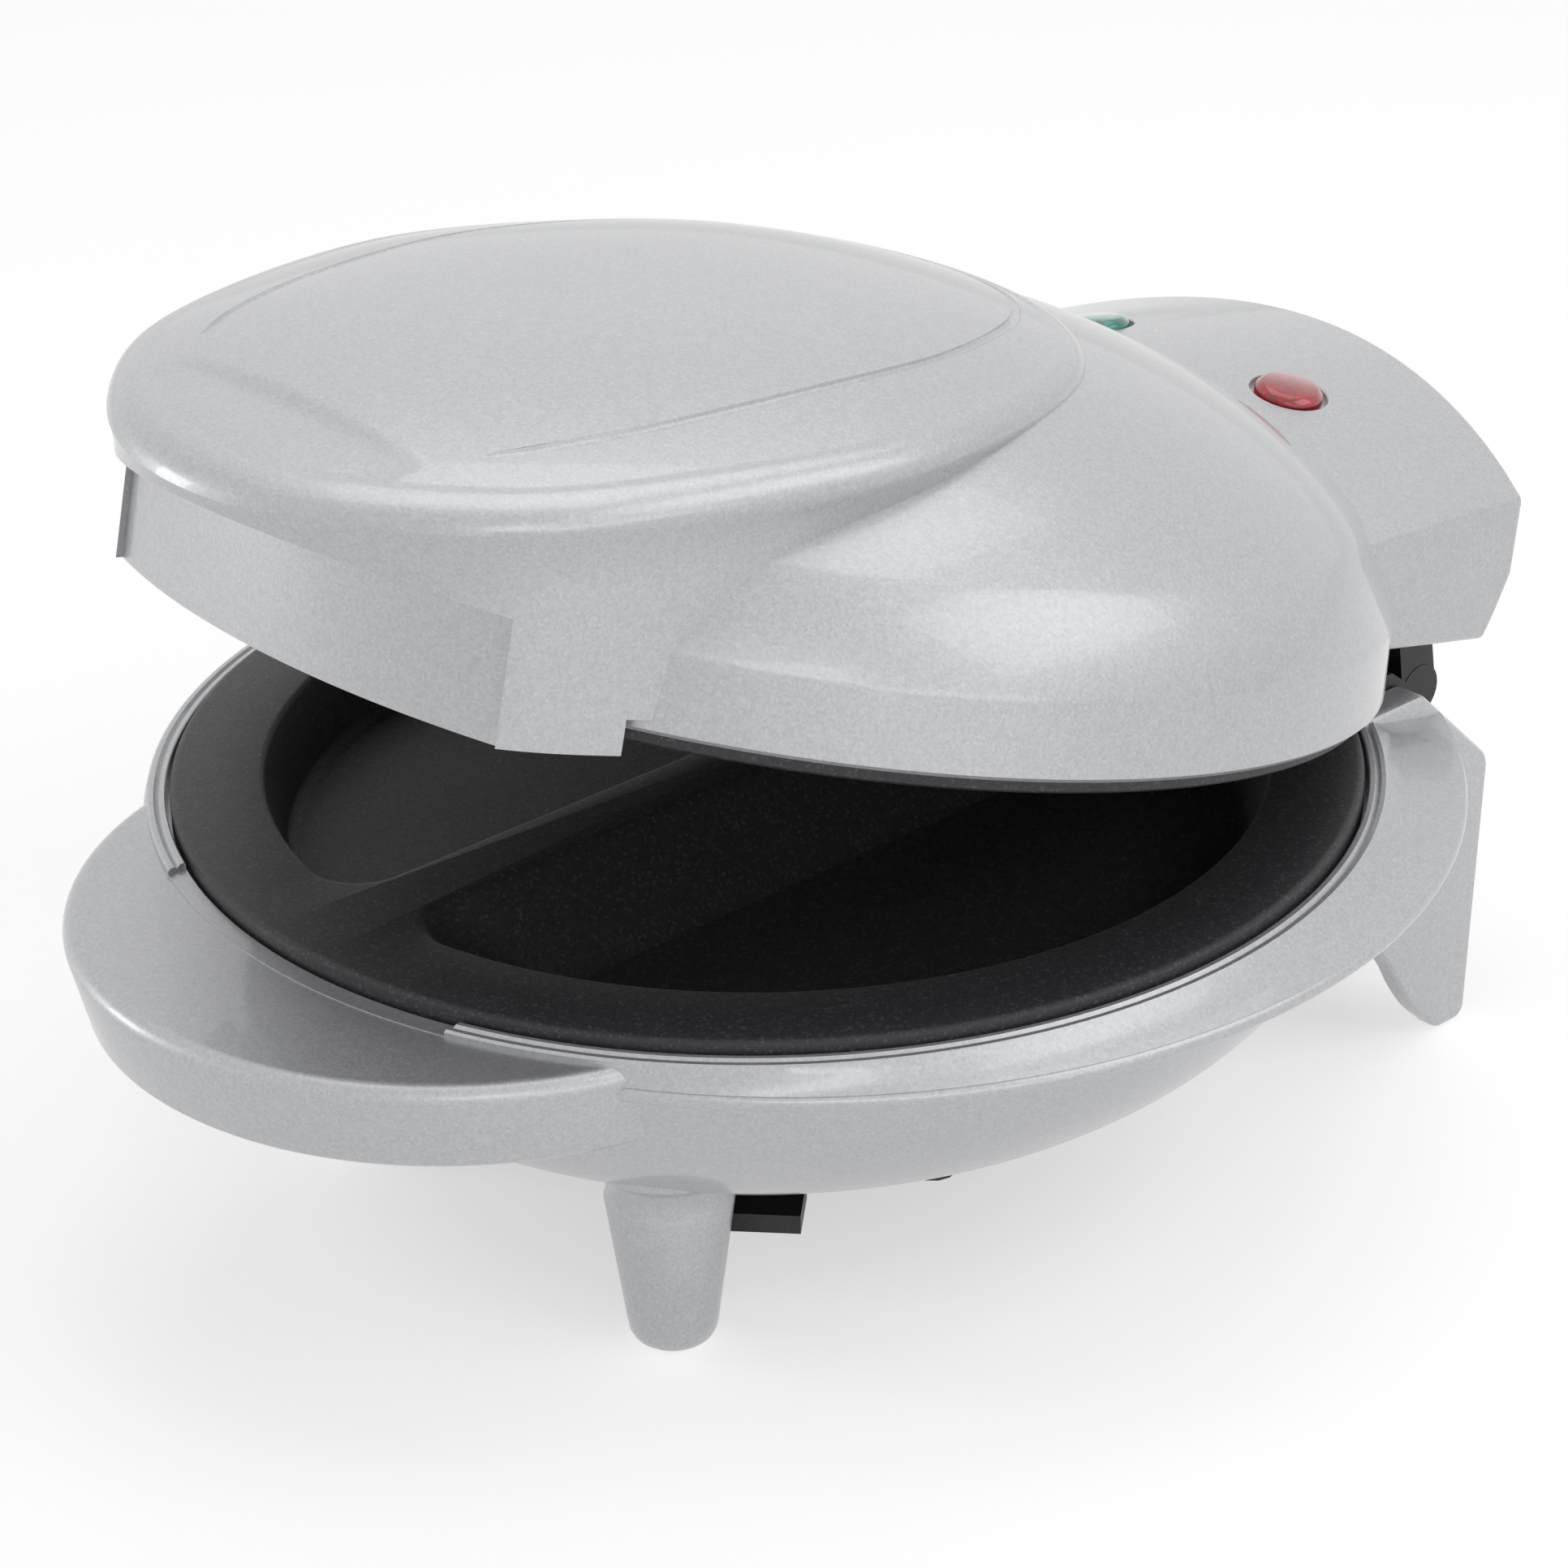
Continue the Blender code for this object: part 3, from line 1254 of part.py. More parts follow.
def inner_cover(surface, frame):
    """The black cover under the rear housing, with the two ears that turn on the pins."""
    low, high = rim_plane_z + seat_gap, inner_cover_top
    half = housing_half - housing_wall - seat_gap
    stations = 12
    inset = housing_wall + seat_gap + housing_foot_inset
    rear_edge = []
    for i in range(stations + 1):
        x = half - 2 * half * i / stations
        share = x / housing_half
        rear_edge.append((x, housing_mid_y - (housing_mid_y - housing_side_y) * share * share - inset))
    radius = lid_radius + seat_gap
    reach = math.asin(half / radius)
    front_edge = []
    for i in range(stations + 1):
        a = -reach + 2 * reach * i / stations
        front_edge.append((radius * math.sin(a), radius * math.cos(a)))
    piece = outline_plate("inner_cover", front_edge + rear_edge, low, high)
    for side in (-1, 1):
        ends = sorted((side * ear_inner_x, side * ear_outer_x))
        base = ((ear_root_front_y, low + fine_round), (ear_root_rear_y, low + fine_round))
        ear = cross_bar(f"ear{side:+d}", knuckle_radius, *ends, (hinge_y, hinge_z), small_steps * 2)
        leg = side_plate(f"ear_leg{side:+d}", [base[0], (hinge_y - knuckle_radius * 0.97, hinge_z),
                         (hinge_y + knuckle_radius * 0.97, hinge_z), base[1]],
                         ends[0] + seat_gap / 3, ends[1] - seat_gap / 3)
        join(piece, ear, leg)
        bore_ends = sorted((side * (ear_inner_x - overrun), side * (pin_outer_x + seat_gap)))
        cut(piece, cross_bar(f"ear_bore{side:+d}", pin_radius + seat_gap, *bore_ends, (hinge_y, hinge_z)))
        place = (side * inner_cover_screw_x, inner_cover_screw_y)
        cut(piece, cylinder(f"inner_cover_bore{side:+d}", screw_bore, low - overrun, lug_low_z + overrun,
                            place, bore_steps))
        cut(piece, cylinder(f"inner_cover_well{side:+d}", screw_head + seat_gap, low - overrun,
                            low + screw_head_height * 0.6, place))
    return finish_piece(piece, frame, surface)


def lens(name, side, surface, frame):
    """A domed lamp lens with a stem that fills its hole."""
    flat = -lens_recess + seat_gap
    profile = [(0.0, lens_dome)]
    quarter = 4
    for i in range(1, quarter + 1):
        a = math.pi / 2 * i / quarter
        profile.append((lens_radius * math.sin(a), flat / 2 + (lens_dome - flat / 2) * math.cos(a)))
    profile += [(lens_radius, flat), (lens_stem_radius, flat), (lens_stem_radius, -lens_stem_length),
                (0.0, -lens_stem_length)]
    piece = turned(name, profile, small_steps * 2)
    piece.rotation_mode = "QUATERNION"
    piece.rotation_quaternion = top_tilt(side)
    piece.location = lamp_place(side)
    return finish_piece(piece, frame, surface)


def neon_lamp(name, side, surface, frame):
    """A small neon tube that lies on the holder under its lens."""
    top = housing_top(lamp_x, lamp_y) - lens_stem_length - seat_gap * 4
    centre = (lamp_y, top - neon_radius)
    ends = sorted((side * (lamp_x - neon_length / 2), side * (lamp_x + neon_length / 2)))
    return finish_piece(cross_bar(name, neon_radius, *ends, centre, 12), frame, surface)


def lamp_holder(surface, frame):
    """The strip across the housing that carries the two neon lamps."""
    top = housing_top(lamp_x, lamp_y) - lens_stem_length - seat_gap * 5 - neon_radius * 2
    low = (-holder_half_x, lamp_y - holder_half_y / 2, top - holder_thickness)
    high = (holder_half_x, lamp_y + holder_half_y / 2, top)
    return finish_piece(box("lamp_holder", low, high), frame, surface)


def build():
    """Make all pieces and hang them on the two bodies."""
    silver = material("silver_paint", (0.55, 0.56, 0.58), 0.35, 0.4)
    black = material("black_plastic", (0.02, 0.02, 0.022), 0.45)
    coating = material("nonstick_coating", (0.02, 0.02, 0.025), 0.5)
    steel = material("steel", (0.6, 0.6, 0.6), 0.3, 1.0)
    zinc = material("zinc_screw", (0.5, 0.5, 0.52), 0.4, 1.0)
    ceramic = material("ceramic", (0.75, 0.72, 0.65), 0.7)
    green = material("green_lens", (0.02, 0.35, 0.28), 0.2)
    red = material("red_lens", (0.6, 0.02, 0.03), 0.2)
    glass = material("neon_glass", (0.8, 0.8, 0.8), 0.1)

    base_shell(silver, base_frame)
    lower_plate(coating, base_frame)
    heater("lower_heater", plate_bottom_z, steel, base_frame)
    thermostat(ceramic, base_frame)
    posts = [(place, post_radius + fine_round) for place in quarter_places(post_circle_radius)]
    middle = [((0.0, 0.0), thermostat_radius + fine_round)]
    reflector("lower_reflector", plate_bottom_z, 1, posts + middle, steel, base_frame)
    hinge_bracket(black, base_frame)
    bottom_cover(black, base_frame)
    rear_cover(black, base_frame)
    cord_bush(black, base_frame)
    for side, word in ((-1, "left"), (1, "right")):
        hinge_pin(f"hinge_pin_{word}", side, steel, base_frame)
    base_screws(zinc)

    lid_shell(silver, lid_frame)
    inner_cover(black, lid_frame)
    upper_plate(coating, lid_frame)
    heater("upper_heater", upper_back_z, steel, lid_frame)
    thermal_fuse(ceramic, lid_frame)
    reflector("upper_reflector", upper_back_z, -1, [], steel, lid_frame)
    lamp_holder(black, lid_frame)
    for side, word, surface in ((-1, "green", green), (1, "red", red)):
        lens(f"lens_{word}", side, surface, lid_frame)
        neon_lamp(f"neon_lamp_{word}", side, glass, lid_frame)
    lid_screws(zinc)


def base_screws(zinc):
    """All screws of the base, each its own piece."""
    for i, place in enumerate(quarter_places(post_circle_radius)):
        screw(f"plate_screw_{i + 1}", place, boss_top_z - shell_wall, 1, zinc, base_frame)
    for i, place in enumerate(cover_screw_places()):
        screw(f"cover_screw_{i + 1}", place, cover_floor_z + screw_head_height, 1, zinc, base_frame)
    for i, place in enumerate(reflector_screw_places()):
        screw(f"lower_reflector_screw_{i + 1}", place, reflector_far_z, 1, zinc, base_frame,
              reflector_drop + screw_head_height)
    for side, word in ((-1, "left"), (1, "right")):
        y, z = slope_point(bracket_screw_along, bracket_screw_seat)
        screw(f"bracket_screw_{word}", (side * bracket_screw_x, y), z, -1, zinc, base_frame,
              screw_length, slope_lean)
        screw(f"rear_cover_screw_{word}", (side * rear_cover_screw_x, rear_cover_screw_y),
              block_under_z - seat_gap - cover_wall, 1, zinc, base_frame)


def lid_screws(zinc):
    """All screws of the lid, each its own piece."""
    top = upper_back_z + reflector_drop + reflector_sheet
    for i, place in enumerate(reflector_screw_places()):
        screw(f"upper_reflector_screw_{i + 1}", place, top, -1, zinc, lid_frame,
              reflector_drop + screw_head_height)
    for side, word in ((-1, "left"), (1, "right")):
        screw(f"inner_cover_screw_{word}", (side * inner_cover_screw_x, inner_cover_screw_y),
              rim_plane_z + seat_gap + screw_head_height * 0.6, 1, zinc, lid_frame, screw_length * 1.2)


clear_scene()
parts = new_collection("omelette_maker")
cutters = new_collection("cutters")
base_frame = new_frame("base_frame", (0.0, frame_shift_y, 0.0))
lid_frame = new_frame("lid_frame", (0.0, frame_shift_y + hinge_y, hinge_z), -lid_rest_angle)
build()
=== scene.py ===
import json
import math

import bmesh
import bpy
from mathutils import Matrix, Vector


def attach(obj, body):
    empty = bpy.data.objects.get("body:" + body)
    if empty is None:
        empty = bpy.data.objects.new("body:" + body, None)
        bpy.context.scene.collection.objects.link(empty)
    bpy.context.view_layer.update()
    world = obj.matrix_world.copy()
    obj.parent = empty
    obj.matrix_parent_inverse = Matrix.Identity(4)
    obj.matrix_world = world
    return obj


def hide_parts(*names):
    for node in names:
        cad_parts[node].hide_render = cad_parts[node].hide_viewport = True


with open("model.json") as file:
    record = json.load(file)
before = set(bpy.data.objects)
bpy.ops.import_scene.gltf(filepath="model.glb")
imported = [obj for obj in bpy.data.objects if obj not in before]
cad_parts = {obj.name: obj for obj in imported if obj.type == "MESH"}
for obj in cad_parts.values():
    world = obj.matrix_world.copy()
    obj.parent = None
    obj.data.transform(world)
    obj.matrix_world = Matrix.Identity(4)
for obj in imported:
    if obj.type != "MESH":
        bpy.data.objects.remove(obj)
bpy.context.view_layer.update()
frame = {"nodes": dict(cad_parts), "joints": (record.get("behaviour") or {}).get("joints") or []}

# Sizes are in millimetres round the plate axis, with the lid closed, as in the source
MM = 0.001
HINGE_Y, HINGE_Z = 104.0, 58.0
LID_REST = math.radians(13.3)
SHIFT_Y = frame["joints"][0]["pos_m"][1] / MM - HINGE_Y
BASE_PLACE = Matrix.Scale(MM, 4) @ Matrix.Translation((0, SHIFT_Y, 0))
LID_PLACE = (Matrix.Scale(MM, 4) @ Matrix.Translation((0, SHIFT_Y + HINGE_Y, HINGE_Z))
             @ Matrix.Rotation(-LID_REST, 4, "X") @ Matrix.Translation((0, -HINGE_Y, -HINGE_Z)))

# Points on a circle, large and hidden; the gap round a fitted piece; how far a cutter runs over
ROUND, MIDDLE = 192, 96
GAP, OVER = 0.3, 2.0
WALL = 2.8

# Cooking plates: their edges as rows of inset and drop
PLATE_R, PLATE_TOP, PLATE_RIM = 94.3, 67.2, 4.7
UPPER_R, UPPER_FACE_Z, UPPER_RIM = 92.1, 67.5, 4.3
BODY_R, BODY_DEPTH, BODY_DRAFT = 86.5, 14.0, 3.5
PLATE_EDGE = [(1.4, 0.0), (0.7, 0.18), (0.2, 0.6), (0.0, 1.3)]

# Pockets: their rounded mouths as rows of drop and inset
LOWER_DEPTH, UPPER_DEPTH = 13.0, 12.0
POCKET_RIDGE, POCKET_SLOPE, POCKET_R = 5.6, 14.0, 79.5
POCKET_MOUTH = [(-OVER, -0.9), (0.0, -0.9), (0.12, -0.5), (0.4, -0.15), (0.9, 0.1)]
POCKET_DRAFT, FLOOR_ROUND, FLOOR_INSET = 2.6, 1.6, 2.0
MOUTH_DROP, MOUTH_INSET = 0.5, -0.7
SLOPE_TOE, TOE_SPREAD = 0.8, 1.2
POCKET_CORNER, CORNER_GROWTH = 8.5, 1.5

# Base ring and flange: the ring's crest as rows of radius and height from its opening
OPENING_R, RING_R, RING_Z, RING_FALL = 95.0, 98.0, 65.3, 0.1
RING_CREST = [(-OVER, 0.0), (-0.3, 0.0), (0.2, 0.35), (0.9, 0.35), (1.4, -0.15), (1.9, 0.25)]
FLANGE_R, FLANGE_Y, FLANGE_Z, FLANGE_EDGE, FLANGE_DISH = 105.0, 8.0, 61.5, 2.6, 0.5
STEP_HALF, STEP_Y, STEP_RISE = 33.5, -89.0, 0.15

# Bowl, with the ledge for the plate above and the seat of the bottom cover below
NECK_R, NECK_Z, FOOT_R, FOOT_Z, BOWL_SAG = 96.5, 58.6, 70.9, 28.0, 4.6
LEDGE_R, LEDGE_DEPTH = 88.5, 4.0
COVER_R, COVER_RIM, COVER_WALL, COVER_LEDGE_R, COVER_LEDGE = 69.2, 27.7, 2.4, 59.5, 2.5
COVER_TOP = COVER_RIM + COVER_WALL + GAP

# Front lip, and the front legs as rows of radius and height
LIP_R, LIP_Y, LIP_TOP, LIP_LOW = 61.0, -60.5, 64.5, 50.5
LIP_ROUND, LIP_DRAFT, LIP_FOOT, LIP_WALL = 2.5, 3.0, 0.5, 2.6
LEG_X, LEG_Y, LEG_TOP, LEG_SEAT_R = 38.6, -55.7, 33.5, 17.5
LEG_HEAD = [(0.0, 38.0), (13.8, 38.0), (13.4, 33.6)]
LEG_FLARE_TOP, LEG_FLARE_LOW, LEG_FLARE_SAG = (13.2, 33.0), (9.9, 25.0), -1.6
LEG_FOOT = [(7.0, 3.4), (6.75, 2.0), (6.2, 0.9), (5.4, 0.25), (4.6, 0.0), (0.0, 0.0)]

# Rear block and fins: points of its side view as Y and Z
BLOCK_HALF, FIN, BLOCK_WALL = 60.0, 3.4, 3.4
BLOCK_TOP, BLOCK_FRONT, SLOPE_Y = 66.0, 56.0, 90.0
BLOCK_LIP, HEEL = (108.0, 49.0), (109.5, 45.5)
BLOCK_EDGE, HEEL_ROUND, FIN_ROUND = 1.2, 4.2, 2.6
FIN_REAR, FIN_TOE, FIN_RUN, UNDER_Z, HOLLOW_Y = 105.7, 98.0, 0.74, 30.0, 75.5
TOE_CURVE = [(-0.9, 1.6), (0.0, 0.45), (1.4, 0.0)]
FIN_CURVE = [(0.17, 0.19), (0.30, 0.37), (0.42, 0.58), (0.58, 0.78), (0.78, 0.96)]
BRACKET_HALF, BRACKET_PROUD, BRACKET_SUNK, NOSE_Y, NOSE_Z = 54.0, 2.0, 2.0, 80.0, 68.5
BRACKET_LENGTH = math.hypot(BLOCK_LIP[0] - SLOPE_Y, BLOCK_TOP - BLOCK_LIP[1]) - BLOCK_WALL
BUSH_R, BUSH_Z = 6.5, 38.5

# Lid band and dome
LID_R, RIM_Z, BAND_H, LID_SEAT = 94.0, 70.0, 12.0, 1.8
DOME_R, DOME_H, DOME_BULGE, DOME_FULLNESS, DOME_CREASE = 93.0, 37.0, 2.2, 0.6, 6.5
DOME_WALL_SIDE, DOME_WALL_TOP = 3.12, 2.6

# Egg-shaped top: its right half as shares of half width and of length from the front
EGG_HALF, EGG_FRONT, EGG_LENGTH, EGG_ROUND, HANDLE_LOW = 60.5, -119.3, 151.3, 4.5, 66.8
EGG_EDGE_Z, EGG_LEVEL_Y, EGG_TILT, EGG_SAG = 110.3, -50.0, 0.158, 2.9
EGG_CROWN, EGG_FULLNESS, EGG_FLARE, FLARE_DEPTH, EGG_WALL = 6.3, 3.2, 1.6, 9.0, 2.6
EGG_WIDEST = 0.52
EGG_SHARES = [(0.281, 0.010), (0.545, 0.073), (0.711, 0.135), (0.793, 0.175), (0.901, 0.281),
              (0.992, 0.436), (1.000, 0.519), (0.980, 0.598), (0.826, 0.790), (0.661, 0.876),
              (0.413, 0.955)]
FINE_STEP, FINE_STEPS, FINE_BAND, COARSE_STEPS = 0.008, 28, 0.224, 15
HOLLOW_SHARES = [0.78, 0.45, 0.08]

# Details of the egg: thumb dent, engraved line and the handle's set-back panel
SCOOP_Y, SCOOP_REACH, SCOOP_HALF, SCOOP_DEPTH, SCOOP_RISE = -100.2, 13.5, 28.0, 1.5, 3.2
GROOVE = [(32.6, -94.5), (36.8, -86.0), (40.3, -75.0), (42.4, -62.0), (43.6, -48.0), (43.4, -33.0),
          (41.5, -19.0), (37.2, -5.5), (30.5, 7.0), (21.0, 16.8), (10.5, 22.5), (0.0, 24.3)]
GROOVE_LIFT, GROOVE_END_R, GROOVE_GROWTH, GROOVE_TAPER = 0.12, 0.60, 0.42, 6.0
GRIP_HALF, GRIP_FRONT, GRIP_END, GRIP_WALL = 44.6, -102.6, -95.3, 3.9
ROOF_FRONT, ROOF_BACK = 90.3, 84.8

# Rear housing: its lower rear edge as rows of distance behind the back and height
HOUSE_HALF, HOUSE_SIDE_Y, HOUSE_MID_Y, HOUSE_FRONT_Y = 58.0, 106.3, 117.0, 50.0
HOUSE_TOP, HOUSE_TILT, HOUSE_SAG, HOUSE_EDGE = 92.7, 0.1457, 13.5, 2.8 / 3
HOUSE_HEM = [(-0.9, 4.56), (1.3, 11.4)]
HOUSE_INSET = 2.7

# Indicator lenses and their stepped holes, as rows of radius and height from the housing's top
LAMP_X, LAMP_Y = 22.0, 86.4
LENS_HOLE = [(0.0, OVER), (7.0, OVER), (7.0, 0.15), (6.6, -0.25), (6.6, -1.3), (5.1, -1.3),
             (5.1, -WALL * 2), (0.0, -WALL * 2)]
LENS_PROFILE = [(0.0, 1.35), (4.5, 1.3), (4.85, 1.15), (5.6, 0.45), (5.75, 0.1), (5.75, -1.2),
                (4.9, -1.2), (4.9, -2.6), (0.0, -2.6)]

# Camera at the photograph's angle
CAMERA_AZ, CAMERA_EL, CAMERA_ROLL = math.radians(47.90), math.radians(26.80), math.radians(-0.91)
CAMERA_PLACE, CAMERA_LENS, CAMERA_SENSOR = (449.9, -403.0 + SHIFT_Y, 364.9), 97.32, 36

# How bright the floor and the sky look to the rays that show the background
FLOOR_GLOW, SKY_SHOWN, SKY_AMBIENT = 0.55, 1.0, 0.22


def circle(radius, cx=0.0, cy=0.0, count=ROUND):
    """Points of a full circle, anticlockwise from +X."""
    return [(cx + radius * math.cos(2 * math.pi * i / count),
             cy + radius * math.sin(2 * math.pi * i / count)) for i in range(count)]


def level_rings(rows, count=ROUND):
    """Level circles from rows of radius, centre along Y and height."""
    return [[(x, y, z) for x, y in circle(radius, 0.0, cy, count)] for radius, cy, z in rows]


def quarter_turn(steps):
    """Angles of a quarter circle with both its ends."""
    return [math.pi / 2 * i / steps for i in range(steps + 1)]


def arc(start, end, sagitta, steps):
    """Points on an arc that bulges to the left of its chord by sagitta."""
    a, b = Vector(start), Vector(end)
    chord = b - a
    half = chord.length / 2
    radius = (half * half + sagitta * sagitta) / (2 * sagitta)
    normal = Vector((-chord.y, chord.x)).normalized()
    centre = (a + b) / 2 + normal * (sagitta - radius)
    sweep = 2 * math.asin(half / radius)
    return [tuple(centre + Matrix.Rotation(-sweep * i / steps, 2) @ (a - centre))
            for i in range(steps + 1)]


def corner_round(corners, radii, steps):
    """A closed outline with each corner rounded by its own radius, or kept where that is zero."""
    points = []
    for i, (corner, radius) in enumerate(zip(corners, radii)):
        here = Vector(corner)
        if not radius:
            points.append(tuple(here))
            continue
        before = (Vector(corners[i - 1]) - here).normalized()
        after = (Vector(corners[(i + 1) % len(corners)]) - here).normalized()
        bend = before.angle(after)
        reach = radius / math.tan(bend / 2)
        centre = here + (before + after).normalized() * (radius / math.sin(bend / 2))
        first, last = here + before * reach - centre, here + after * reach - centre
        turn = first.angle_signed(last)
        points += [tuple(centre + Matrix.Rotation(-turn * k / steps, 2) @ first)
                   for k in range(steps + 1)]
    return points


def spline(corners, per_span, closed=True):
    """A smooth curve through the corners."""
    count = len(corners)
    spans = count if closed else count - 1
    points = []
    for i in range(spans):
        ids = [(i + k) % count if closed else min(max(i + k, 0), count - 1)
               for k in (-1, 0, 1, 2)]
        p0, p1, p2, p3 = (Vector(corners[k]) for k in ids)
        for step in range(per_span):
            t = step / per_span
            points.append(tuple((2 * p1 + (p2 - p0) * t + (2 * p0 - 5 * p1 + 4 * p2 - p3) * t * t
                                 + (3 * p1 - p0 - 3 * p2 + p3) * t ** 3) / 2))
    if not closed:
        points.append(tuple(corners[-1]))
    return points


def new_object(name, shape):
    """An object in the scene from a bmesh."""
    bmesh.ops.recalc_face_normals(shape, faces=shape.faces)
    mesh = bpy.data.meshes.new(name)
    shape.to_mesh(mesh)
    shape.free()
    item = bpy.data.objects.new(name, mesh)
    bpy.context.scene.collection.objects.link(item)
    return item


def loft(name, rings):
    """A closed body through rings of equally many points."""
    shape = bmesh.new()
    rows = [[shape.verts.new(p) for p in ring] for ring in rings]
    for low, high in zip(rows, rows[1:]):
        for i in range(len(low)):
            j = (i + 1) % len(low)
            shape.faces.new((low[i], low[j], high[j], high[i]))
    bmesh.ops.triangulate(shape, faces=shape.faces)
    shape.faces.new(rows[0])
    shape.faces.new(rows[-1])
    return new_object(name, shape)


def turned(name, profile, steps=ROUND, centre=(0.0, 0.0)):
    """A body of revolution; the profile starts and ends on the axis, or closes on itself."""
    shape = bmesh.new()
    on_axis = profile[0][0] == 0
    rows = []
    for radius, height in profile:
        if radius == 0:
            rows.append([shape.verts.new((*centre, height))])
        else:
            rows.append([shape.verts.new((x, y, height)) for x, y in circle(radius, *centre, steps)])
    pairs = list(zip(rows, rows[1:])) + ([] if on_axis else [(rows[-1], rows[0])])
    for low, high in pairs:
        for i in range(steps):
            j = (i + 1) % steps
            ring = [low[i % len(low)], low[j % len(low)], high[j % len(high)], high[i % len(high)]]
            corners = [v for k, v in enumerate(ring) if v not in ring[:k]]
            if len(corners) > 2:
                shape.faces.new(corners)
    return new_object(name, shape)


def side_plate(name, outline, half):
    """A side view in Y and Z, extruded along X by half its width to both sides."""
    shape = bmesh.new()
    left, right = ([shape.verts.new((x, y, z)) for y, z in outline] for x in (-half, half))
    for i in range(len(outline)):
        j = (i + 1) % len(outline)
        shape.faces.new((left[i], left[j], right[j], right[i]))
    shape.faces.new(left)
    shape.faces.new(right)
    return new_object(name, shape)


def cylinder(name, radius, low, high, centre=(0.0, 0.0), steps=ROUND):
    """A round bar along Z."""
    return turned(name, [(0.0, high), (radius, high), (radius, low), (0.0, low)], steps, centre)


def box(name, low, high):
    """A box between two corners."""
    shape = bmesh.new()
    bmesh.ops.create_cube(shape, size=1)
    bmesh.ops.scale(shape, vec=[b - a for a, b in zip(low, high)], verts=shape.verts)
    bmesh.ops.translate(shape, vec=[(a + b) / 2 for a, b in zip(low, high)], verts=shape.verts)
    return new_object(name, shape)


def tube(name, path, radii, steps=12):
    """A tube along a path with its own radius at each point."""
    rings = []
    for i, p in enumerate(path):
        here = Vector(p)
        along = (Vector(path[min(i + 1, len(path) - 1)]) - Vector(path[max(i - 1, 0)])).normalized()
        side = along.cross(Vector((0, 0, 1))).normalized()
        over = side.cross(along)
        rings.append([tuple(here + (side * math.cos(t) + over * math.sin(t)) * radii[i])
                      for t in (2 * math.pi * k / steps for k in range(steps))])
    return loft(name, rings)


def solve(piece, others, operation):
    """Join or cut a piece with others at once, and keep the result as its mesh."""
    for other in others:
        change = piece.modifiers.new("shape", "BOOLEAN")
        change.operation = operation
        change.solver = "EXACT"
        change.object = other
        weld = piece.modifiers.new("weld", "WELD")
        weld.merge_threshold = 0.002
    bpy.context.view_layer.update()
    graph = bpy.context.evaluated_depsgraph_get()
    mesh = bpy.data.meshes.new_from_object(piece.evaluated_get(graph))
    piece.modifiers.clear()
    old = piece.data
    piece.data = mesh
    bpy.data.meshes.remove(old)
    for other in others:
        old = other.data
        bpy.data.objects.remove(other)
        bpy.data.meshes.remove(old)
    return piece


def cut(piece, *others):
    """Take the others away."""
    return solve(piece, others, "DIFFERENCE")


def join(piece, *others):
    """Add the others."""
    return solve(piece, others, "UNION")


def bevel(piece, width, segments, angle):
    """Round the edges of a simple piece that are sharper than an angle."""
    change = piece.modifiers.new("round", "BEVEL")
    change.width = width
    change.segments = segments
    change.limit_method = "ANGLE"
    change.angle_limit = math.radians(angle)
    change.use_clamp_overlap = True
    return solve(piece, [], "UNION")


def settle(piece, name, body, surface, node, angle):
    """Put a finished piece in its place on its body, with its material."""
    piece.data.transform(LID_PLACE if body == "lid" else BASE_PLACE)
    piece.name = name
    piece.data.name = name
    piece.data.shade_smooth()
    piece.data.set_sharp_from_angle(angle=math.radians(angle))
    piece.data.materials.clear()
    piece.data.materials.append(surface)
    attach(piece, body)
    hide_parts(node)
    return piece


def house_top(x, y):
    """Height of the rear housing's top."""
    share = x / HOUSE_HALF
    return HOUSE_TOP + HOUSE_TILT * y - HOUSE_SAG * share * share


def slope(along, out):
    """A point by the rear slope, along it from its upper edge and out of it."""
    start = Vector((SLOPE_Y, BLOCK_TOP))
    run = (Vector(BLOCK_LIP) - start).normalized()
    return tuple(start + run * along + Vector((-run.y, run.x)) * out)


def bowl_outer(steps):
    """The bowl's outer curve, as radius and height."""
    return arc((NECK_R, NECK_Z), (FOOT_R, FOOT_Z), BOWL_SAG, steps)


def rear_block():
    """The hinge block with its two fins, open below."""
    reach = FIN_TOE - (FIN_TOE - BLOCK_FRONT) * FIN_RUN
    toe = [(FIN_TOE + y, z) for y, z in TOE_CURVE]
    edge = [(FIN_TOE - (FIN_TOE - reach) * y, UNDER_Z * z) for y, z in FIN_CURVE]
    under = spline([toe[0]] + edge, 4, closed=False) + [(BLOCK_FRONT, UNDER_Z * 1.4)]
    corners = [(SLOPE_Y, BLOCK_TOP), (BLOCK_LIP[0] - 0.1, BLOCK_LIP[1]), (FIN_REAR, 0.0), (60.0, 0.0)]
    heel = corner_round(corners, [0.0, HEEL_ROUND, FIN_ROUND, 0.0], 8)[1:-1]
    top = [(BLOCK_FRONT, BLOCK_TOP), (SLOPE_Y, BLOCK_TOP)] + heel
    block = side_plate("block", top + toe[:0:-1] + under, BLOCK_HALF)
    bevel(block, BLOCK_EDGE, 3, 22)
    inner = BLOCK_HALF - FIN
    under_cut = box("under", (-inner, BLOCK_FRONT - OVER, -OVER), (inner, HEEL[0] + OVER, UNDER_Z))
    deep = BLOCK_WALL + BRACKET_SUNK
    rear = HEEL[0] - BLOCK_WALL
    hollow = [(HOLLOW_Y, UNDER_Z - OVER), (rear - BLOCK_WALL / 2, UNDER_Z - OVER), (rear, HEEL[1]),
              slope(BRACKET_LENGTH, -deep), slope(0.0, -deep), (HOLLOW_Y, BLOCK_TOP - deep)]
    return cut(block, under_cut, side_plate("hollow", hollow, inner - 0.5))


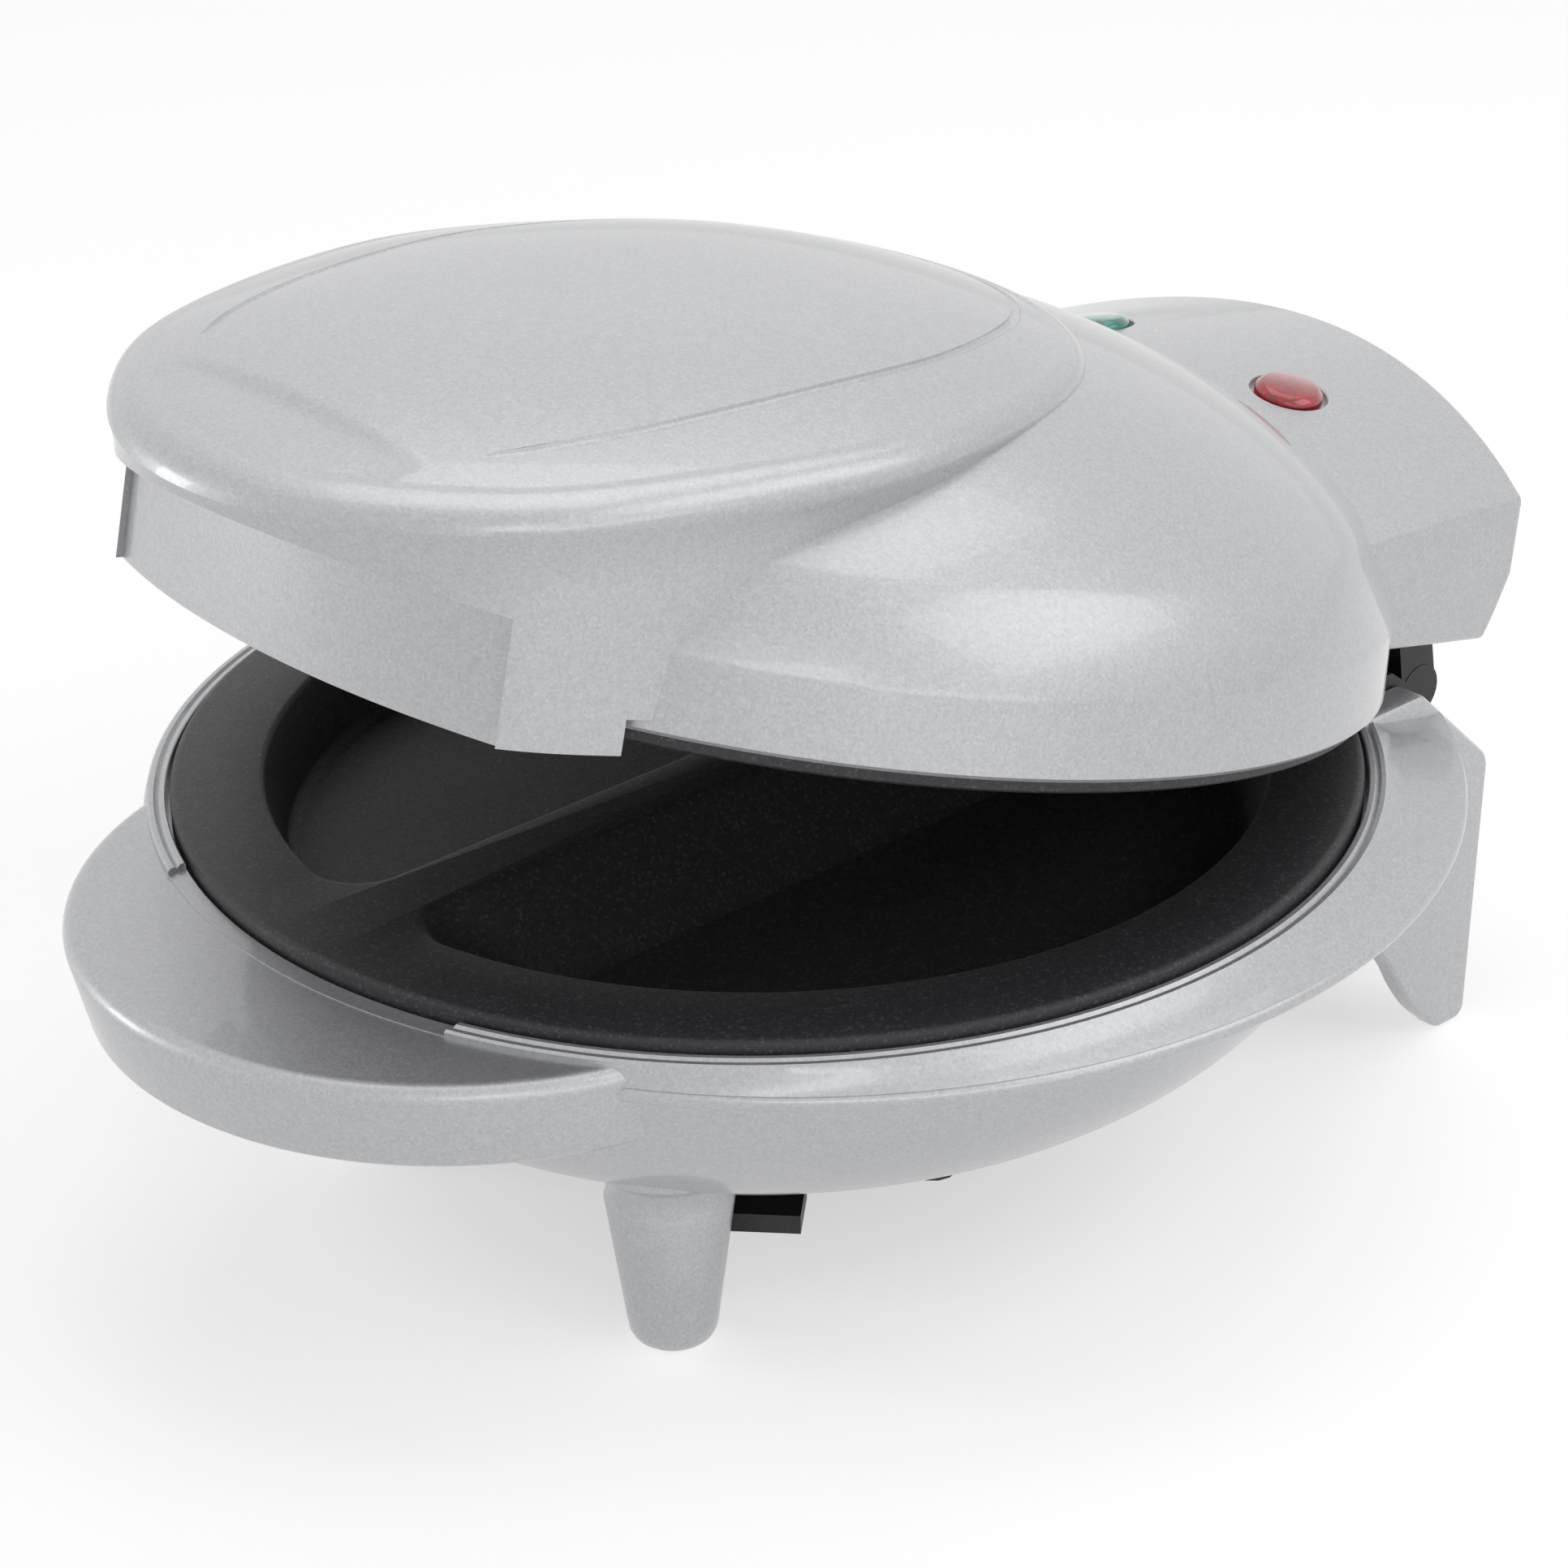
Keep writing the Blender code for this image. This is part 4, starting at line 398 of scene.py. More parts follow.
def bracket_recess():
    """The side view of the recess that the hinge bracket sits in."""
    sunk, end = BRACKET_SUNK + GAP, BRACKET_LENGTH + GAP
    return [(NOSE_Y - GAP, NOSE_Z + OVER), slope(0.0, BRACKET_PROUD + OVER),
            slope(end, BRACKET_PROUD / 2 + OVER), slope(end, -sunk), slope(0.0, -sunk),
            (NOSE_Y - GAP, BLOCK_TOP - sunk)]


def front_lip():
    """The flat grip lip, hollow below."""
    foot = LIP_R - LIP_DRAFT
    outer = [(foot, LIP_Y, LIP_LOW), (foot + LIP_FOOT, LIP_Y, LIP_LOW + LIP_FOOT)]
    outer += [(LIP_R - LIP_ROUND + LIP_ROUND * math.cos(a), LIP_Y,
               LIP_TOP - LIP_ROUND + LIP_ROUND * math.sin(a)) for a in quarter_turn(7)]
    inner = [(foot - LIP_WALL, LIP_Y, LIP_LOW - OVER), (LIP_R - LIP_WALL, LIP_Y, LIP_TOP - LIP_WALL)]
    return cut(loft("lip", level_rings(outer)), loft("lip_hollow", level_rings(inner, MIDDLE)))


def base_leg(side):
    """A front leg, flowing into the bowl with a small flare and rounded at the foot."""
    place = (side * LEG_X, LEG_Y)
    profile = LEG_HEAD + arc(LEG_FLARE_TOP, LEG_FLARE_LOW, LEG_FLARE_SAG, 12) + LEG_FOOT
    leg = turned("leg", profile, 72, place)
    seat = cylinder("leg_seat", LEG_SEAT_R, COVER_RIM + 0.6, LEG_TOP, place, 72)
    solve(seat, [cylinder("seat_edge", COVER_R, 0.0, 50.0)], "INTERSECT")
    return join(leg, seat)


def base_outside():
    """Rows of radius, centre and height over the ring and the flange and down the bowl."""
    rows = [(OPENING_R + r, 0.0, RING_Z + z) for r, z in RING_CREST]
    rows += [(RING_R - 0.4, 0.0, RING_Z + 0.25), (RING_R, 0.0, RING_Z - RING_FALL)]
    steps = 5
    for i in range(1, steps + 1):
        share = i / steps
        rows.append((RING_R + (FLANGE_R - RING_R) * share, FLANGE_Y * share,
                     RING_Z - RING_FALL + (FLANGE_Z - RING_Z + RING_FALL) * share
                     - FLANGE_DISH * math.sin(math.pi * share)))
    bead = FLANGE_EDGE / 2
    for i in range(1, 8):
        a = math.pi * 0.5 - math.pi * i / 7
        rows.append((FLANGE_R - bead * 0.55 + bead * 0.9 * math.cos(a), FLANGE_Y,
                     FLANGE_Z - bead + bead * math.sin(a)))
    rows.append((FLANGE_R - bead * 2, FLANGE_Y, FLANGE_Z - FLANGE_EDGE))
    return rows + [(r, 0.0, z) for r, z in bowl_outer(24)]


def bowl_inside(ledge_z):
    """The hollow under the plate, one wall inside the bowl's curve, down through the cover's ledge."""
    low = ledge_z - LEDGE_DEPTH
    points = [(0.0, RING_Z + OVER), (LEDGE_R, RING_Z + OVER), (LEDGE_R, low), (NECK_R - WALL, low - WALL)]
    outer = [Vector(p) for p in bowl_outer(12)]
    cover_ledge = COVER_TOP + COVER_LEDGE
    for before, here, after in zip(outer, outer[1:], outer[2:]):
        along = (after - before).normalized()
        inside = here + Vector((along.y, -along.x)) * WALL
        if inside.y > cover_ledge + 0.5:
            points.append((inside.x, inside.y))
    return points + [(COVER_LEDGE_R, cover_ledge), (COVER_LEDGE_R, FOOT_Z - 2 * OVER),
                     (0.0, FOOT_Z - 2 * OVER)]


def base_shell(surface):
    """The base moulding with its ring, flange, lip, legs, rear block and fins."""
    shell = loft("base", level_rings(base_outside()))
    gap = box("flange_gap", (-BLOCK_HALF + 0.5, BLOCK_FRONT, NECK_Z),
              (BLOCK_HALF - 0.5, 220.0, BLOCK_TOP + OVER))
    cut(gap, cylinder("ring", RING_R + 0.5, NECK_Z - OVER, BLOCK_TOP + 2 * OVER))
    cut(shell, gap)
    join(shell, front_lip(), rear_block())
    cut(shell, box("ring_step", (-STEP_HALF, -FLANGE_R, LIP_TOP + STEP_RISE),
                   (STEP_HALF, STEP_Y, RING_Z + OVER)))
    ledge_z = PLATE_TOP - PLATE_RIM - GAP
    cut(shell, cylinder("opening", OPENING_R, ledge_z, RING_Z + 2 * OVER),
        turned("bowl_hollow", bowl_inside(ledge_z), MIDDLE),
        cylinder("cover_seat", COVER_R + GAP, FOOT_Z - OVER, COVER_TOP))
    join(shell, base_leg(-1), base_leg(1))
    recess = side_plate("recess", bracket_recess(), BRACKET_HALF + GAP)
    cut(recess, cylinder("keep", RING_R, 0.0, 140.0))
    cut(shell, recess)
    bush = cylinder("bush_hole", BUSH_R, -BLOCK_WALL * 2, BLOCK_WALL * 2, steps=48)
    bush.data.transform(Matrix.Translation((0.0, HEEL[0], BUSH_Z)) @ Matrix.Rotation(math.pi / 2, 4, "X"))
    cut(shell, bush)
    return settle(shell, "base_moulding", "base", surface, "base_shell", 28)


def scoop(x, y):
    """Depth of the soft thumb dent at the front of the lid's top."""
    ahead = SCOOP_Y - y
    if ahead <= 0 or ahead > SCOOP_REACH or abs(x) > SCOOP_HALF:
        return 0.0
    side = (1 - (x / SCOOP_HALF) ** 2) ** 0.8
    rise = min(1.0, ahead / SCOOP_RISE)
    fade = 1 - ahead / SCOOP_REACH
    return SCOOP_DEPTH * side * rise * rise * (3 - 2 * rise) * fade * fade * (3 - 2 * fade)


def evened(outline, reach):
    """A closed outline with each point moved to the middle of its neighbours."""
    count, width = len(outline), 2 * reach + 1
    return [tuple(sum(outline[(i + k) % count][axis] for k in range(-reach, reach + 1)) / width
                  for axis in (0, 1)) for i in range(count)]


def egg_level(y):
    """Height of the egg's edge, which falls and bows towards the front."""
    away = (y - EGG_LEVEL_Y) / (EGG_LENGTH / 2)
    return EGG_EDGE_Z + EGG_TILT * (y - EGG_LEVEL_Y) - EGG_SAG * away * away


def egg_outline(half, front_y, length, detail):
    """The egg's closed outline in plan."""
    right = [(half * x, front_y + length * y) for x, y in EGG_SHARES]
    return spline([(0.0, front_y)] + right + [(0.0, front_y + length)]
                  + [(-x, y) for x, y in reversed(right)], detail)


def egg_body(inset, front_y, low_z, detail):
    """The egg column with its crowned top on a flared rim, or the hollow inside it."""
    half = EGG_HALF - inset
    length = EGG_FRONT + EGG_LENGTH - inset - front_y
    outline = egg_outline(half, front_y, length, detail)
    for _ in range(0 if inset else 3):
        outline = evened(outline, 9)
    middle = front_y + length * EGG_WIDEST

    def ring(share, rise, dent=False):
        points = []
        for x, y in outline:
            px, py = x * share, middle + (y - middle) * share
            points.append((px, py, egg_level(py) + rise - inset - (scoop(px, py) if dent else 0.0)))
        return points

    rings = [[(x, y, low_z) for x, y in outline]]
    rim = 1.0 if inset else 1.0 + EGG_FLARE / half
    for share in () if inset else (i / 6 for i in range(7)):
        rings.append(ring(1 + (rim - 1) * share * share, -EGG_ROUND - FLARE_DEPTH * (1 - share)))
    for a in quarter_turn(3 if inset else 9)[1:]:
        rings.append(ring(rim - EGG_ROUND * (1 - math.cos(a)) / half, EGG_ROUND * (math.sin(a) - 1)))
    top = rim - EGG_ROUND / half
    fine = [top - FINE_STEP * i for i in range(1, FINE_STEPS + 1)]
    coarse = [(top - FINE_BAND) * (1 - i / COARSE_STEPS) for i in range(1, COARSE_STEPS)]
    for share in HOLLOW_SHARES if inset else fine + coarse:
        rings.append(ring(share, EGG_CROWN * (1 - (share / top) ** EGG_FULLNESS), not inset))
    return loft("egg", rings)


def grip_recess():
    """The set-back front panel of the handle under its overhanging rim."""
    panel = arc((GRIP_HALF, GRIP_END), (-GRIP_HALF, GRIP_END), GRIP_END - GRIP_FRONT, 48)
    outline = [(-GRIP_HALF, EGG_FRONT * 1.1), (GRIP_HALF, EGG_FRONT * 1.1)] + panel
    tilt = (ROOF_FRONT - ROOF_BACK) / (GRIP_END - EGG_FRONT)
    low = [(x, y, HANDLE_LOW - OVER) for x, y in outline]
    high = [(x, y, ROOF_BACK + tilt * (GRIP_END - y)) for x, y in outline]
    return loft("grip", [low, high])


def dome(radius, height, steps, crease=0.0):
    """The dome's curve, straight over its last few millimetres for a crisp edge on the band."""
    points = []
    for share in (math.sin(a) for a in quarter_turn(steps)):
        rise = height * (1 - share ** DOME_BULGE) ** DOME_FULLNESS
        points.append((radius * share, RIM_Z + BAND_H + rise))
    if crease:
        points = [p for p in points if p[0] < radius - crease]
        points.append((radius, RIM_Z + BAND_H + 0.2))
    return points


def house_section(x, inset):
    """The side view of the rear housing at one place across it."""
    share = x / HOUSE_HALF
    rear = HOUSE_MID_Y - (HOUSE_MID_Y - HOUSE_SIDE_Y) * share * share - inset
    bottom = RIM_Z + GAP - (OVER if inset else 0.0)
    front = HOUSE_FRONT_Y + inset
    hem = [(rear + y, RIM_Z + z) for y, z in HOUSE_HEM]
    return [(front, bottom), (rear - HOUSE_INSET, bottom)] + hem + [
        (rear, house_top(x, rear) - inset), (front, house_top(x, front) - inset)]


def house_body(inset, stations):
    """The rear housing, or its hollow."""
    half = HOUSE_HALF - inset
    rings = []
    for i in range(stations + 1):
        x = -half + 2 * half * i / stations
        rings.append([(x, y, z) for y, z in house_section(x, inset)])
    return loft("house", rings)


def lamp_frame(side):
    """Where a lamp lies on the housing, as a matrix."""
    fall = 2 * HOUSE_SAG * LAMP_X / HOUSE_HALF ** 2
    normal = Vector((side * fall, -HOUSE_TILT, 1.0))
    place = (side * LAMP_X, LAMP_Y, house_top(LAMP_X, LAMP_Y))
    return Matrix.Translation(place) @ normal.to_track_quat("Z", "Y").to_matrix().to_4x4()


def groove_cutter():
    """The fine engraved line on the lid's top, tapering to its two front ends."""
    half = spline(GROOVE, 8, closed=False)
    path = half + [(-x, y) for x, y in reversed(half[:-1])]
    points = [(x, y, egg_crown_level(x, y) + GROOVE_LIFT) for x, y in path]
    radii = [GROOVE_END_R + GROOVE_GROWTH * min(1.0, min(i, len(path) - 1 - i) / GROOVE_TAPER)
             for i in range(len(path))]
    return tube("groove", points, radii)


def egg_crown_level(x, y):
    """Height of the lid's crowned top at a place in plan."""
    middle = EGG_FRONT + EGG_LENGTH * EGG_WIDEST
    top = 1 + (EGG_FLARE - EGG_ROUND) / EGG_HALF
    low, high = 0.01, 1.2
    for _ in range(30):
        share = (low + high) / 2
        if abs(x) / share <= egg_half_width(middle + (y - middle) / share):
            high = share
        else:
            low = share
    return egg_level(y) + EGG_CROWN * (1 - (min(high, top) / top) ** EGG_FULLNESS)


def egg_half_width(y):
    """Half the egg's width at a place along Y."""
    for (y0, x0), (y1, x1) in zip(EGG_TABLE, EGG_TABLE[1:]):
        if y0 <= y <= y1:
            return x0 + (x1 - x0) * (y - y0) / max(y1 - y0, 1e-9)
    return -1.0


EGG_TABLE = sorted((y, max(x, 0.0)) for x, y in spline(
    [(0.0, EGG_FRONT)] + [(EGG_HALF * x, EGG_FRONT + EGG_LENGTH * y) for x, y in EGG_SHARES]
    + [(0.0, EGG_FRONT + EGG_LENGTH)], 8, closed=False))


def lid_shell(surface):
    """The lid moulding: band, dome, egg-shaped top with its handle, and rear housing."""
    band = [(DOME_R + 0.10, RIM_Z + BAND_H - 0.9), (LID_R, RIM_Z + 0.6), (LID_R - 0.5, RIM_Z), (0.0, RIM_Z)]
    shell = turned("lid", dome(DOME_R, DOME_H, 56, DOME_CREASE) + band)
    egg = egg_body(0.0, EGG_FRONT, HANDLE_LOW, 14)
    cut(egg, grip_recess(), cylinder("clear", 96.2, HANDLE_LOW - OVER, RIM_Z + OVER), groove_cutter())
    house = house_body(0.0, 40)
    bevel(house, HOUSE_EDGE, 4, 50)
    join(shell, egg, house)
    hollow = house_body(WALL, 16)
    cut(hollow, cylinder("band_keep", LID_R + 0.12, 0.0, RIM_Z + BAND_H))
    inner_r = DOME_R - DOME_WALL_SIDE
    inner = dome(inner_r, DOME_H - DOME_WALL_TOP, 12)
    inner += [(inner_r, RIM_Z - 2 * OVER), (0.0, RIM_Z - 2 * OVER)]
    cut(shell, hollow, turned("dome_hollow", inner, MIDDLE),
        cylinder("seat", UPPER_R + GAP, RIM_Z - OVER, RIM_Z + LID_SEAT))
    cut(shell, egg_body(EGG_WALL, GRIP_FRONT + GRIP_WALL, RIM_Z + BAND_H / 2, 1))
    for side in (-1, 1):
        hole = turned("lens_hole", LENS_HOLE, 64)
        hole.data.transform(lamp_frame(side))
        cut(shell, hole)
    return settle(shell, "lid_moulding", "lid", surface, "lid_shell", 28)


def pocket_outline(side, ridge, radius, corner):
    """A half moon in plan with rounded corners at the ridge's two ends."""
    cx = ridge + corner
    cy = math.sqrt((radius - corner) ** 2 - cx ** 2)
    tilt = math.atan2(cy, cx)
    ends, bow = 12, 60
    points = [(cx + corner * math.cos(a), -cy + corner * math.sin(a))
              for a in (-math.pi + (math.pi - tilt) * i / ends for i in range(ends + 1))]
    points += [(radius * math.cos(a), radius * math.sin(a))
               for a in (-tilt + 2 * tilt * i / bow for i in range(1, bow))]
    points += [(cx + corner * math.cos(a), cy + corner * math.sin(a))
               for a in (tilt + (math.pi - tilt) * i / ends for i in range(ends + 1))]
    return [(side * x, y) for x, y in points]


def pocket(side, face_z, depth, facing):
    """The hollow of one pocket: a long slope on the ridge's side, steep walls round the rim."""
    floor = [(depth - FLOOR_ROUND + FLOOR_ROUND * math.sin(a),
              POCKET_DRAFT + FLOOR_INSET * (1 - math.cos(a))) for a in quarter_turn(6)]
    rings = []
    for drop, inset in POCKET_MOUTH + floor:
        share = max(0.0, drop) / depth
        bend = share if share < SLOPE_TOE else SLOPE_TOE + (share - SLOPE_TOE) * TOE_SPREAD
        mouth = max(MOUTH_INSET, inset) if drop < MOUTH_DROP else 0.0
        ridge = POCKET_RIDGE + mouth + POCKET_SLOPE * bend
        ring = pocket_outline(side, ridge, POCKET_R - inset, POCKET_CORNER + CORNER_GROWTH * share)
        rings.append([(x, y, face_z - facing * drop) for x, y in ring])
    return loft("pocket", rings)


def cooking_plate(name, node, body, radius, face_z, rim, depth, facing, surface):
    """A cast plate with its two pockets, facing up or down."""
    def level(drop):
        return face_z - facing * drop
    back = rim + BODY_DEPTH
    profile = [(0.0, level(0.0))] + [(radius - inset, level(drop)) for inset, drop in PLATE_EDGE]
    profile += [(radius, level(rim)), (BODY_R, level(rim)), (BODY_R - BODY_DRAFT, level(back)),
                (0.0, level(back))]
    piece = turned("plate", profile)
    cut(piece, pocket(-1, face_z, depth, facing), pocket(1, face_z, depth, facing))
    return settle(piece, name, body, surface, node, 32)


def lens(name, node, side, surface):
    """A flat lamp lens with a bevelled edge, stepped into its hole."""
    piece = turned("lens", LENS_PROFILE, 72)
    piece.data.transform(lamp_frame(side))
    return settle(piece, name, "lid", surface, node, 25)


def new_material(name, base, metallic, roughness, coat=0.0, coat_roughness=0.1):
    """A material with its shader and its object coordinates."""
    surface = bpy.data.materials.new(name)
    surface.use_nodes = True
    tree = surface.node_tree
    shader = tree.nodes["Principled BSDF"]
    shader.inputs["Base Color"].default_value = (*base, 1)
    shader.inputs["Metallic"].default_value = metallic
    shader.inputs["Roughness"].default_value = roughness
    shader.inputs["Coat Weight"].default_value = coat
    shader.inputs["Coat Roughness"].default_value = coat_roughness
    place = tree.nodes.new("ShaderNodeTexCoord").outputs["Object"]
    return surface, tree, shader, place


def noise(tree, place, scale, detail=2.0):
    """A noise pattern's value."""
    node = tree.nodes.new("ShaderNodeTexNoise")
    node.inputs["Scale"].default_value = scale
    node.inputs["Detail"].default_value = detail
    tree.links.new(place, node.inputs["Vector"])
    return node.outputs["Fac"]


def cells(tree, place, size):
    """A random value and the distance from the middle for small cells of a size in metres."""
    node = tree.nodes.new("ShaderNodeTexVoronoi")
    node.inputs["Scale"].default_value = 1 / size
    tree.links.new(place, node.inputs["Vector"])
    split = tree.nodes.new("ShaderNodeSeparateColor")
    tree.links.new(node.outputs["Color"], split.inputs["Color"])
    return split.outputs["Red"], node.outputs["Distance"]


def ramp(tree, value, stops):
    """A colour ramp over a value."""
    node = tree.nodes.new("ShaderNodeValToRGB")
    edge = node.color_ramp.elements
    for i, (where, colour) in enumerate(stops):
        stop = edge[i] if i < 2 else edge.new(where)
        stop.position = where
        stop.color = (*colour, 1)
    tree.links.new(value, node.inputs["Fac"])
    return node.outputs["Color"]


def spread(tree, value, low, high):
    """A value stretched to a range."""
    node = tree.nodes.new("ShaderNodeMapRange")
    node.inputs["To Min"].default_value = low
    node.inputs["To Max"].default_value = high
    tree.links.new(value, node.inputs["Value"])
    return node.outputs["Result"]


def mix(tree, share, a, b):
    """Two colours mixed by a share."""
    node = tree.nodes.new("ShaderNodeMix")
    node.data_type = "RGBA"
    for socket, source in ((node.inputs["Factor"], share), (node.inputs[6], a), (node.inputs[7], b)):
        if isinstance(source, bpy.types.NodeSocket):
            tree.links.new(source, socket)
        else:
            socket.default_value = source if isinstance(source, float) else (*source, 1)
    return node.outputs[2]


def bump(tree, height, strength, depth):
    """A bump from a height in metres."""
    node = tree.nodes.new("ShaderNodeBump")
    node.inputs["Strength"].default_value = strength
    node.inputs["Distance"].default_value = depth
    tree.links.new(height, node.inputs["Height"])
    return node.outputs["Normal"]


def silver_paint():
    """Satin silver paint with fine metal flakes under a clear coat."""
    surface, tree, shader, place = new_material(
        "silver_sparkle", (0.55, 0.56, 0.58), 0.55, 0.42, 0.6, 0.05)
    shade, _ = cells(tree, place, 0.00042)
    fine, _ = cells(tree, place, 0.00023)
    flake = ramp(tree, shade, [(0.0, (0.47, 0.475, 0.49)), (1.0, (0.66, 0.665, 0.68)),
                               (0.55, (0.56, 0.565, 0.58)), (0.93, (0.60, 0.605, 0.62))])
    glint = ramp(tree, fine, [(0.0, (0.50, 0.505, 0.52)), (1.0, (0.62, 0.625, 0.64))])
    cloud = spread(tree, noise(tree, place, 14.0), 0.35, 0.65)
    tree.links.new(mix(tree, cloud, flake, glint), shader.inputs["Base Color"])
    tree.links.new(spread(tree, fine, 0.36, 0.48), shader.inputs["Roughness"])
    tree.links.new(bump(tree, shade, 0.10, 0.00006), shader.inputs["Normal"])
    return surface


def nonstick():
    """Dark non-stick coating with fine pale specks."""
    surface, tree, shader, place = new_material(
        "speckled_nonstick", (0.035, 0.035, 0.038), 0.0, 0.50, 0.06, 0.30)
    shade, _ = cells(tree, place, 0.00042)
    tint = ramp(tree, shade, [(0.0, (0.024, 0.024, 0.027)), (1.0, (0.105, 0.105, 0.112)),
                              (0.72, (0.036, 0.036, 0.040)), (0.90, (0.058, 0.058, 0.063))])
    cloud = spread(tree, noise(tree, place, 60.0), 0.0, 0.35)
    tree.links.new(mix(tree, cloud, tint, (0.030, 0.030, 0.034)), shader.inputs["Base Color"])
    tree.links.new(spread(tree, noise(tree, place, 900.0), 0.46, 0.60), shader.inputs["Roughness"])
    tree.links.new(bump(tree, noise(tree, place, 1300.0), 0.22, 0.00012), shader.inputs["Normal"])
    return surface


def grained(name, low, high, roughness, grain, depth, metallic=0.0, size=700.0):
    """Plastic, ceramic or metal with a fine grain."""
    surface, tree, shader, place = new_material(name, low, metallic, roughness)
    pattern = noise(tree, place, size, 3.0)
    tree.links.new(ramp(tree, pattern, [(0.3, low), (0.7, high)]), shader.inputs["Base Color"])
    tree.links.new(spread(tree, noise(tree, place, size / 9), roughness - 0.06, roughness + 0.06),
                   shader.inputs["Roughness"])
    tree.links.new(bump(tree, pattern, grain, depth), shader.inputs["Normal"])
    return surface


def tinted(name, deep, bright, painted_glow):
    """Clear tinted plastic, deeper in places as moulded facets under the surface, with a faint painted glow
    of its bright colour though no lamp lights it.
    """
    surface, tree, shader, place = new_material(name, bright, 0.0, 0.12, 1.0, 0.03)
    shade, middle = cells(tree, place, 0.0021)
    tree.links.new(mix(tree, ramp(tree, shade, [(0.0, (0, 0, 0)), (1.0, (1, 1, 1))]), deep, bright),
                   shader.inputs["Base Color"])
    shader.inputs["Transmission Weight"].default_value = 0.25
    shader.inputs["IOR"].default_value = 1.49
    # Painted glow: the lens gives off faint light in its bright colour, though nothing lights it from
    # inside.
    shader.inputs["Emission Color"].default_value = (*bright, 1)
    shader.inputs["Emission Strength"].default_value = painted_glow
    tree.links.new(bump(tree, middle, 0.10, 0.0002), shader.inputs["Normal"])
    return surface


def clear_glass():
    """Thin clear glass with a slight waviness."""
    surface, tree, shader, place = new_material("lamp_glass", (0.9, 0.9, 0.9), 0.0, 0.05)
    shader.inputs["Transmission Weight"].default_value = 0.85
    tree.links.new(bump(tree, noise(tree, place, 500.0), 0.05, 0.0001), shader.inputs["Normal"])
    return surface


silver = silver_paint()
coating = nonstick()
# The last number of each lens is its painted glow, a faint light of its own.
red = tinted("red_tint", (0.36, 0.004, 0.010), (0.74, 0.010, 0.026), 0.03)
green = tinted("green_tint", (0.0, 0.12, 0.09), (0.02, 0.50, 0.38), 0.03)

# The look of each CAD node, by the start of its material's name
LOOKS = {
    "silver_paint": silver,
    "nonstick_coating": coating,
    "heater_steel": grained("tube_steel", (0.30, 0.28, 0.26), (0.42, 0.40, 0.38),
                            0.42, 0.15, 0.00008, 1.0),
    "sheet_steel": grained("sheet_bright", (0.60, 0.60, 0.60), (0.74, 0.74, 0.74),
                           0.28, 0.06, 0.00005, 1.0, 300.0),
    "ceramic": grained("pale_ceramic", (0.66, 0.63, 0.56), (0.78, 0.75, 0.68), 0.62, 0.12, 0.00006),
    "black_plastic": grained("black_grain", (0.012, 0.012, 0.013), (0.022, 0.022, 0.024),
                             0.48, 0.25, 0.0001, size=1500.0),
    "pin_steel": grained("ground_steel", (0.45, 0.45, 0.46), (0.58, 0.58, 0.59),
                         0.25, 0.08, 0.00004, 1.0, 1800.0),
    "zinc_screw": grained("zinc_plate", (0.46, 0.46, 0.48), (0.62, 0.62, 0.64),
                          0.34, 0.10, 0.00005, 1.0, 900.0),
    "green_lens": green,
    "red_lens": red,
    "neon_glass": clear_glass(),
}
for item in frame["nodes"].values():
    for place in item.material_slots:
        kind = next((k for k in LOOKS if place.material and place.material.name.startswith(k)), None)
        if kind:
            place.material = LOOKS[kind]

base_shell(silver)
lid_shell(silver)
cooking_plate("lower_grill", "lower_plate", "base", PLATE_R, PLATE_TOP, PLATE_RIM,
              LOWER_DEPTH, 1, coating)
cooking_plate("upper_grill", "upper_plate", "lid", UPPER_R, UPPER_FACE_Z, UPPER_RIM,
              UPPER_DEPTH, -1, coating)
lens("red_cap", "lens_red", 1, red)
lens("green_cap", "lens_green", -1, green)


def ray_share(tree, *kinds):
    """One for rays of these kinds, and zero for all others."""
    rays = tree.nodes.new("ShaderNodeLightPath")
    value = rays.outputs[kinds[0]]
    for kind in kinds[1:]:
        either = tree.nodes.new("ShaderNodeMath")
        either.operation = "MAXIMUM"
        tree.links.new(value, either.inputs[0])
        tree.links.new(rays.outputs[kind], either.inputs[1])
        value = either.outputs[0]
    return value


def pale_floor():
    """A large pale floor that shows white round the object's shadow."""
    shape = bmesh.new()
    bmesh.ops.create_grid(shape, x_segments=1, y_segments=1, size=20)
    floor = new_object("floor", shape)
    floor.location = (0, 0, -0.0002)
    surface, tree, shader, place = new_material("pale_floor", (0.86, 0.86, 0.86), 0.0, 0.75)
    tone = ramp(tree, noise(tree, place, 3.0), [(0.0, (0.855, 0.855, 0.855)), (1.0, (0.865, 0.865, 0.865))])
    tree.links.new(tone, shader.inputs["Base Color"])
    shader.inputs["Specular IOR Level"].default_value = 0.1
    shown = ray_share(tree, "Is Camera Ray", "Is Glossy Ray", "Is Transmission Ray")
    shader.inputs["Emission Color"].default_value = (1, 1, 1, 1)
    tree.links.new(spread(tree, shown, 0.0, FLOOR_GLOW), shader.inputs["Emission Strength"])
    floor.data.materials.append(surface)


